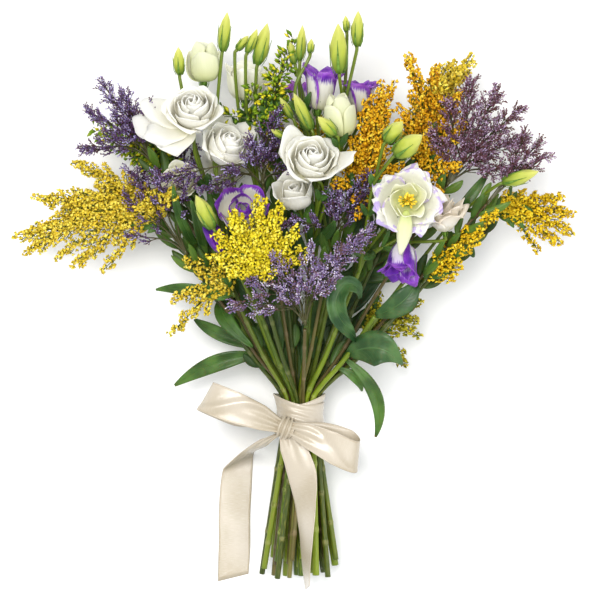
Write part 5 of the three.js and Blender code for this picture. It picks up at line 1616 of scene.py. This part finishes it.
MIDDLE_TAIL = [
    ((-11, -104, 64), (1, 0.3, 0), 12),
    ((-5, -118, 64), (1, 0.1, 0.1), 22),
    ((1, -136, 64), (0.93, 0, 0.37), RIBBON_WIDTH),
    ((4, -160, 65), (0.66, 0, 0.75), RIBBON_WIDTH),
    ((5, -186, 65), (0.42, 0, 0.91), RIBBON_WIDTH),
    ((5, -212, 63), (0.25, 0, 0.97), RIBBON_WIDTH),
    ((6, -230, 62), (0.12, 0.2, 0.97), RIBBON_WIDTH),
]
RIBBON_SHEET = 0.45


def strip_length(stations):
    middles = np.array([middle for middle, _, _ in stations], dtype=float)
    return float(np.linalg.norm(np.diff(middles, axis=0), axis=1).sum())


def strip(stations, gathers, crest):
    """The rows and the surface of a ribbon through its stations. Where it is narrower than it was
    cut, it is gathered into folds along its length. crest is the height of a crease that runs
    slantwise over its first half."""
    middles = smooth_line([middle for middle, _, _ in stations], 8)
    rows = len(middles) - 1
    spots = np.linspace(0, len(stations) - 1, rows + 1)
    given = np.arange(len(stations))
    headings = np.array([unit(vec(*direction)) for _, direction, _ in stations])
    across = units(resampled(headings, given, spots))
    widths = np.interp(spots, given, [width for _, _, width in stations])
    normal = units(np.cross(across, units(np.gradient(middles, axis=0))))
    pinch = np.clip(1 - widths / RIBBON_WIDTH, 0, 1)

    def place(u, v):
        row = row_at(v, rows)
        fold = gathers * pinch[row] * np.cos(u * 7.5 + 0.6) * 2.6
        crown = 0.5 * (1 - u ** 2) * np.minimum(1, pinch[row] * 6)
        ridge = mix(0.95, -0.85, smoothstep(0.12, 0.42, v))
        crown = crown + (crest * np.exp(-((u - ridge) / 0.3) ** 2)
                         * smoothstep(0.06, 0.2, v) * (1 - smoothstep(0.4, 0.5, v)))
        middle = middles[row] + across[row] * (u * widths[row] / 2)[..., None]
        return middle + normal[row] * (fold + crown)[..., None]

    return rows, place


def band(tilt, lift, phase):
    """One turn of the ribbon round the stems, slanted, and drawn together in front."""
    def place(u, v):
        angle = TURN * v + math.pi
        front = np.maximum(np.cos(angle), 0) ** 2
        half = RIBBON_WIDTH / 2 * (0.96 - 0.36 * front)
        y = TIE_Y + u * half + tilt * np.sin(angle)
        flare = 2.3 * np.minimum(np.abs((y - TIE_Y) / 13), 1.1) ** 2.2
        crease = 0.5 * np.sin(u * 9 + 2 * np.sin(angle) + phase) * (0.25 + 0.75 * front)
        radius = WRAP_RADIUS + lift + flare + crease
        return np.stack([np.sin(angle) * radius, y, TIE_HEIGHT + np.cos(angle) * radius], axis=-1)

    return place


def knot(u, v):
    """The short loop that cinches the bow: a gathered band that goes once round its middle."""
    across, down = vec(0.93, -0.36, 0), vec(0.36, 0.93, 0)
    angle = TURN * v
    pinch = 1 - 0.25 * np.cos(angle) ** 2
    gather = 1.35 * np.cos(u * 11 + 0.8 * np.sin(angle)) + 0.9 * (1 - u ** 2)
    return (vec(*KNOT_MIDDLE) + across * (u * 7.4 * pinch)[..., None]
            + down * ((7.6 + gather) * np.cos(angle))[..., None]
            + UP * ((5.2 + gather) * np.sin(angle))[..., None])


def make_cloth(name, place, columns, rows, length, held):
    parts = Parts()
    add_blade(parts, SATIN, place, columns, rows, RIBBON_SHEET, rim=1.0)
    piece = make_piece(name, parts, "ribbon", "satin_ribbon")


def make_ribbon():
    make_cloth("ribbon_knot", knot, 20, 48, KNOT_LENGTH * MM, "folded")
    for name, tilt, lift, phase in [
        ("ribbon_wrap_inner", 3.5, 0.1, 0.0),
        ("ribbon_wrap_outer", -3.5, 1.0, 0.8),
    ]:
        length = TURN * (WRAP_RADIUS + lift + 1) * MM
        make_cloth(name, band(tilt, lift, phase), 16, 72, length, "folded")
    for name, stations, held, gathers, crest in [
        ("ribbon_left_loop", LEFT_LOOP, "folded", 1.0, 2.4),
        ("ribbon_right_loop", RIGHT_LOOP, "folded", 1.0, 1.0),
        ("ribbon_left_tail", LEFT_TAIL, "draped", 0.8, 0.0),
        ("ribbon_middle_tail", MIDDLE_TAIL, "draped", 0.8, 0.0),
    ]:
        rows, place = strip(stations, gathers, crest)
        make_cloth(name, place, 24, rows, strip_length(stations) * MM, held)


# Everything is made here, each piece from its own seed
for number, one in enumerate(BLOOMS):
    make_bloom(one, BLOOM_SEED + number)
for one in [*FLOWER_STEMS, *LEAFY_STEMS]:
    make_flower_stem(one)
make_spray_stems()
for number, one in enumerate(GOLDENROD):
    make_goldenrod(one, GOLDENROD_SEED + number)
for number, one in enumerate(SEA_LAVENDER):
    make_sea_lavender(one, SEA_LAVENDER_SEED + number)
make_ribbon()


# Floor, light and camera, in metres. The camera looks straight down from far away. The photograph's
# 600 pixels span 480 mm here, and the layout's origin is in its middle column and in row 302.
FLOOR_HALF = 6.0
PHOTO_PIXELS = 600
VIEW_SPAN = 0.480
VIEW_MIDDLE_ROW = 302
CAMERA_HEIGHT = 2.6
FOCUS_HEIGHT = 0.075


def make_floor():
    mesh = bpy.data.meshes.new("floor")
    corners = [(FLOOR_HALF * x, FLOOR_HALF * y, 0) for x, y in ((-1, -1), (1, -1), (1, 1), (-1, 1))]
    mesh.from_pydata(corners, [], [(0, 1, 2, 3)])
    floor = bpy.data.objects.new("floor", mesh)
    bpy.context.scene.collection.objects.link(floor)
    shading = Shading("floor_paint", 0.9, specular=0.1)
    mesh.materials.append(shading.finish((0.95, 0.95, 0.95, 1)))


def area_light(name, position, aim, width, power, colour=(1, 1, 1)):
    light = bpy.data.lights.new(name, "AREA")
    light.shape = "DISK"
    light.size = width
    light.energy = power
    light.color = colour
    lamp = bpy.data.objects.new(name, light)
    bpy.context.scene.collection.objects.link(lamp)
    lamp.location = position
    lamp.rotation_euler = (Vector(aim) - Vector(position)).to_track_quat("-Z", "Y").to_euler()


def make_light():
    world = bpy.data.worlds.new("soft_room")
    world.use_nodes = True
    world.node_tree.nodes["Background"].inputs["Color"].default_value = (0.95, 0.97, 1.0, 1)
    world.node_tree.nodes["Background"].inputs["Strength"].default_value = 0.72
    bpy.context.scene.world = world
    area_light("key", (-0.34, 0.34, 2.15), (0, 0.05, 0), width=1.0, power=30, colour=(1.0, 0.98, 0.95))
    area_light("fill", (1.2, -0.6, 1.6), (0, 0, 0), width=1.2, power=8)


def make_camera():
    data = bpy.data.cameras.new("camera")
    data.lens = data.sensor_width * (CAMERA_HEIGHT - FOCUS_HEIGHT) / VIEW_SPAN
    data.clip_end = 50
    camera = bpy.data.objects.new("camera", data)
    bpy.context.scene.collection.objects.link(camera)
    lift = (VIEW_MIDDLE_ROW - PHOTO_PIXELS / 2) * VIEW_SPAN / PHOTO_PIXELS
    camera.location = (SHIFT[0] * MM, SHIFT[1] * MM + lift, CAMERA_HEIGHT)
    bpy.context.scene.camera = camera


make_floor()
make_light()
make_camera()
bpy.context.scene.view_settings.view_transform = "Standard"
bpy.context.scene.view_settings.look = "Medium High Contrast"
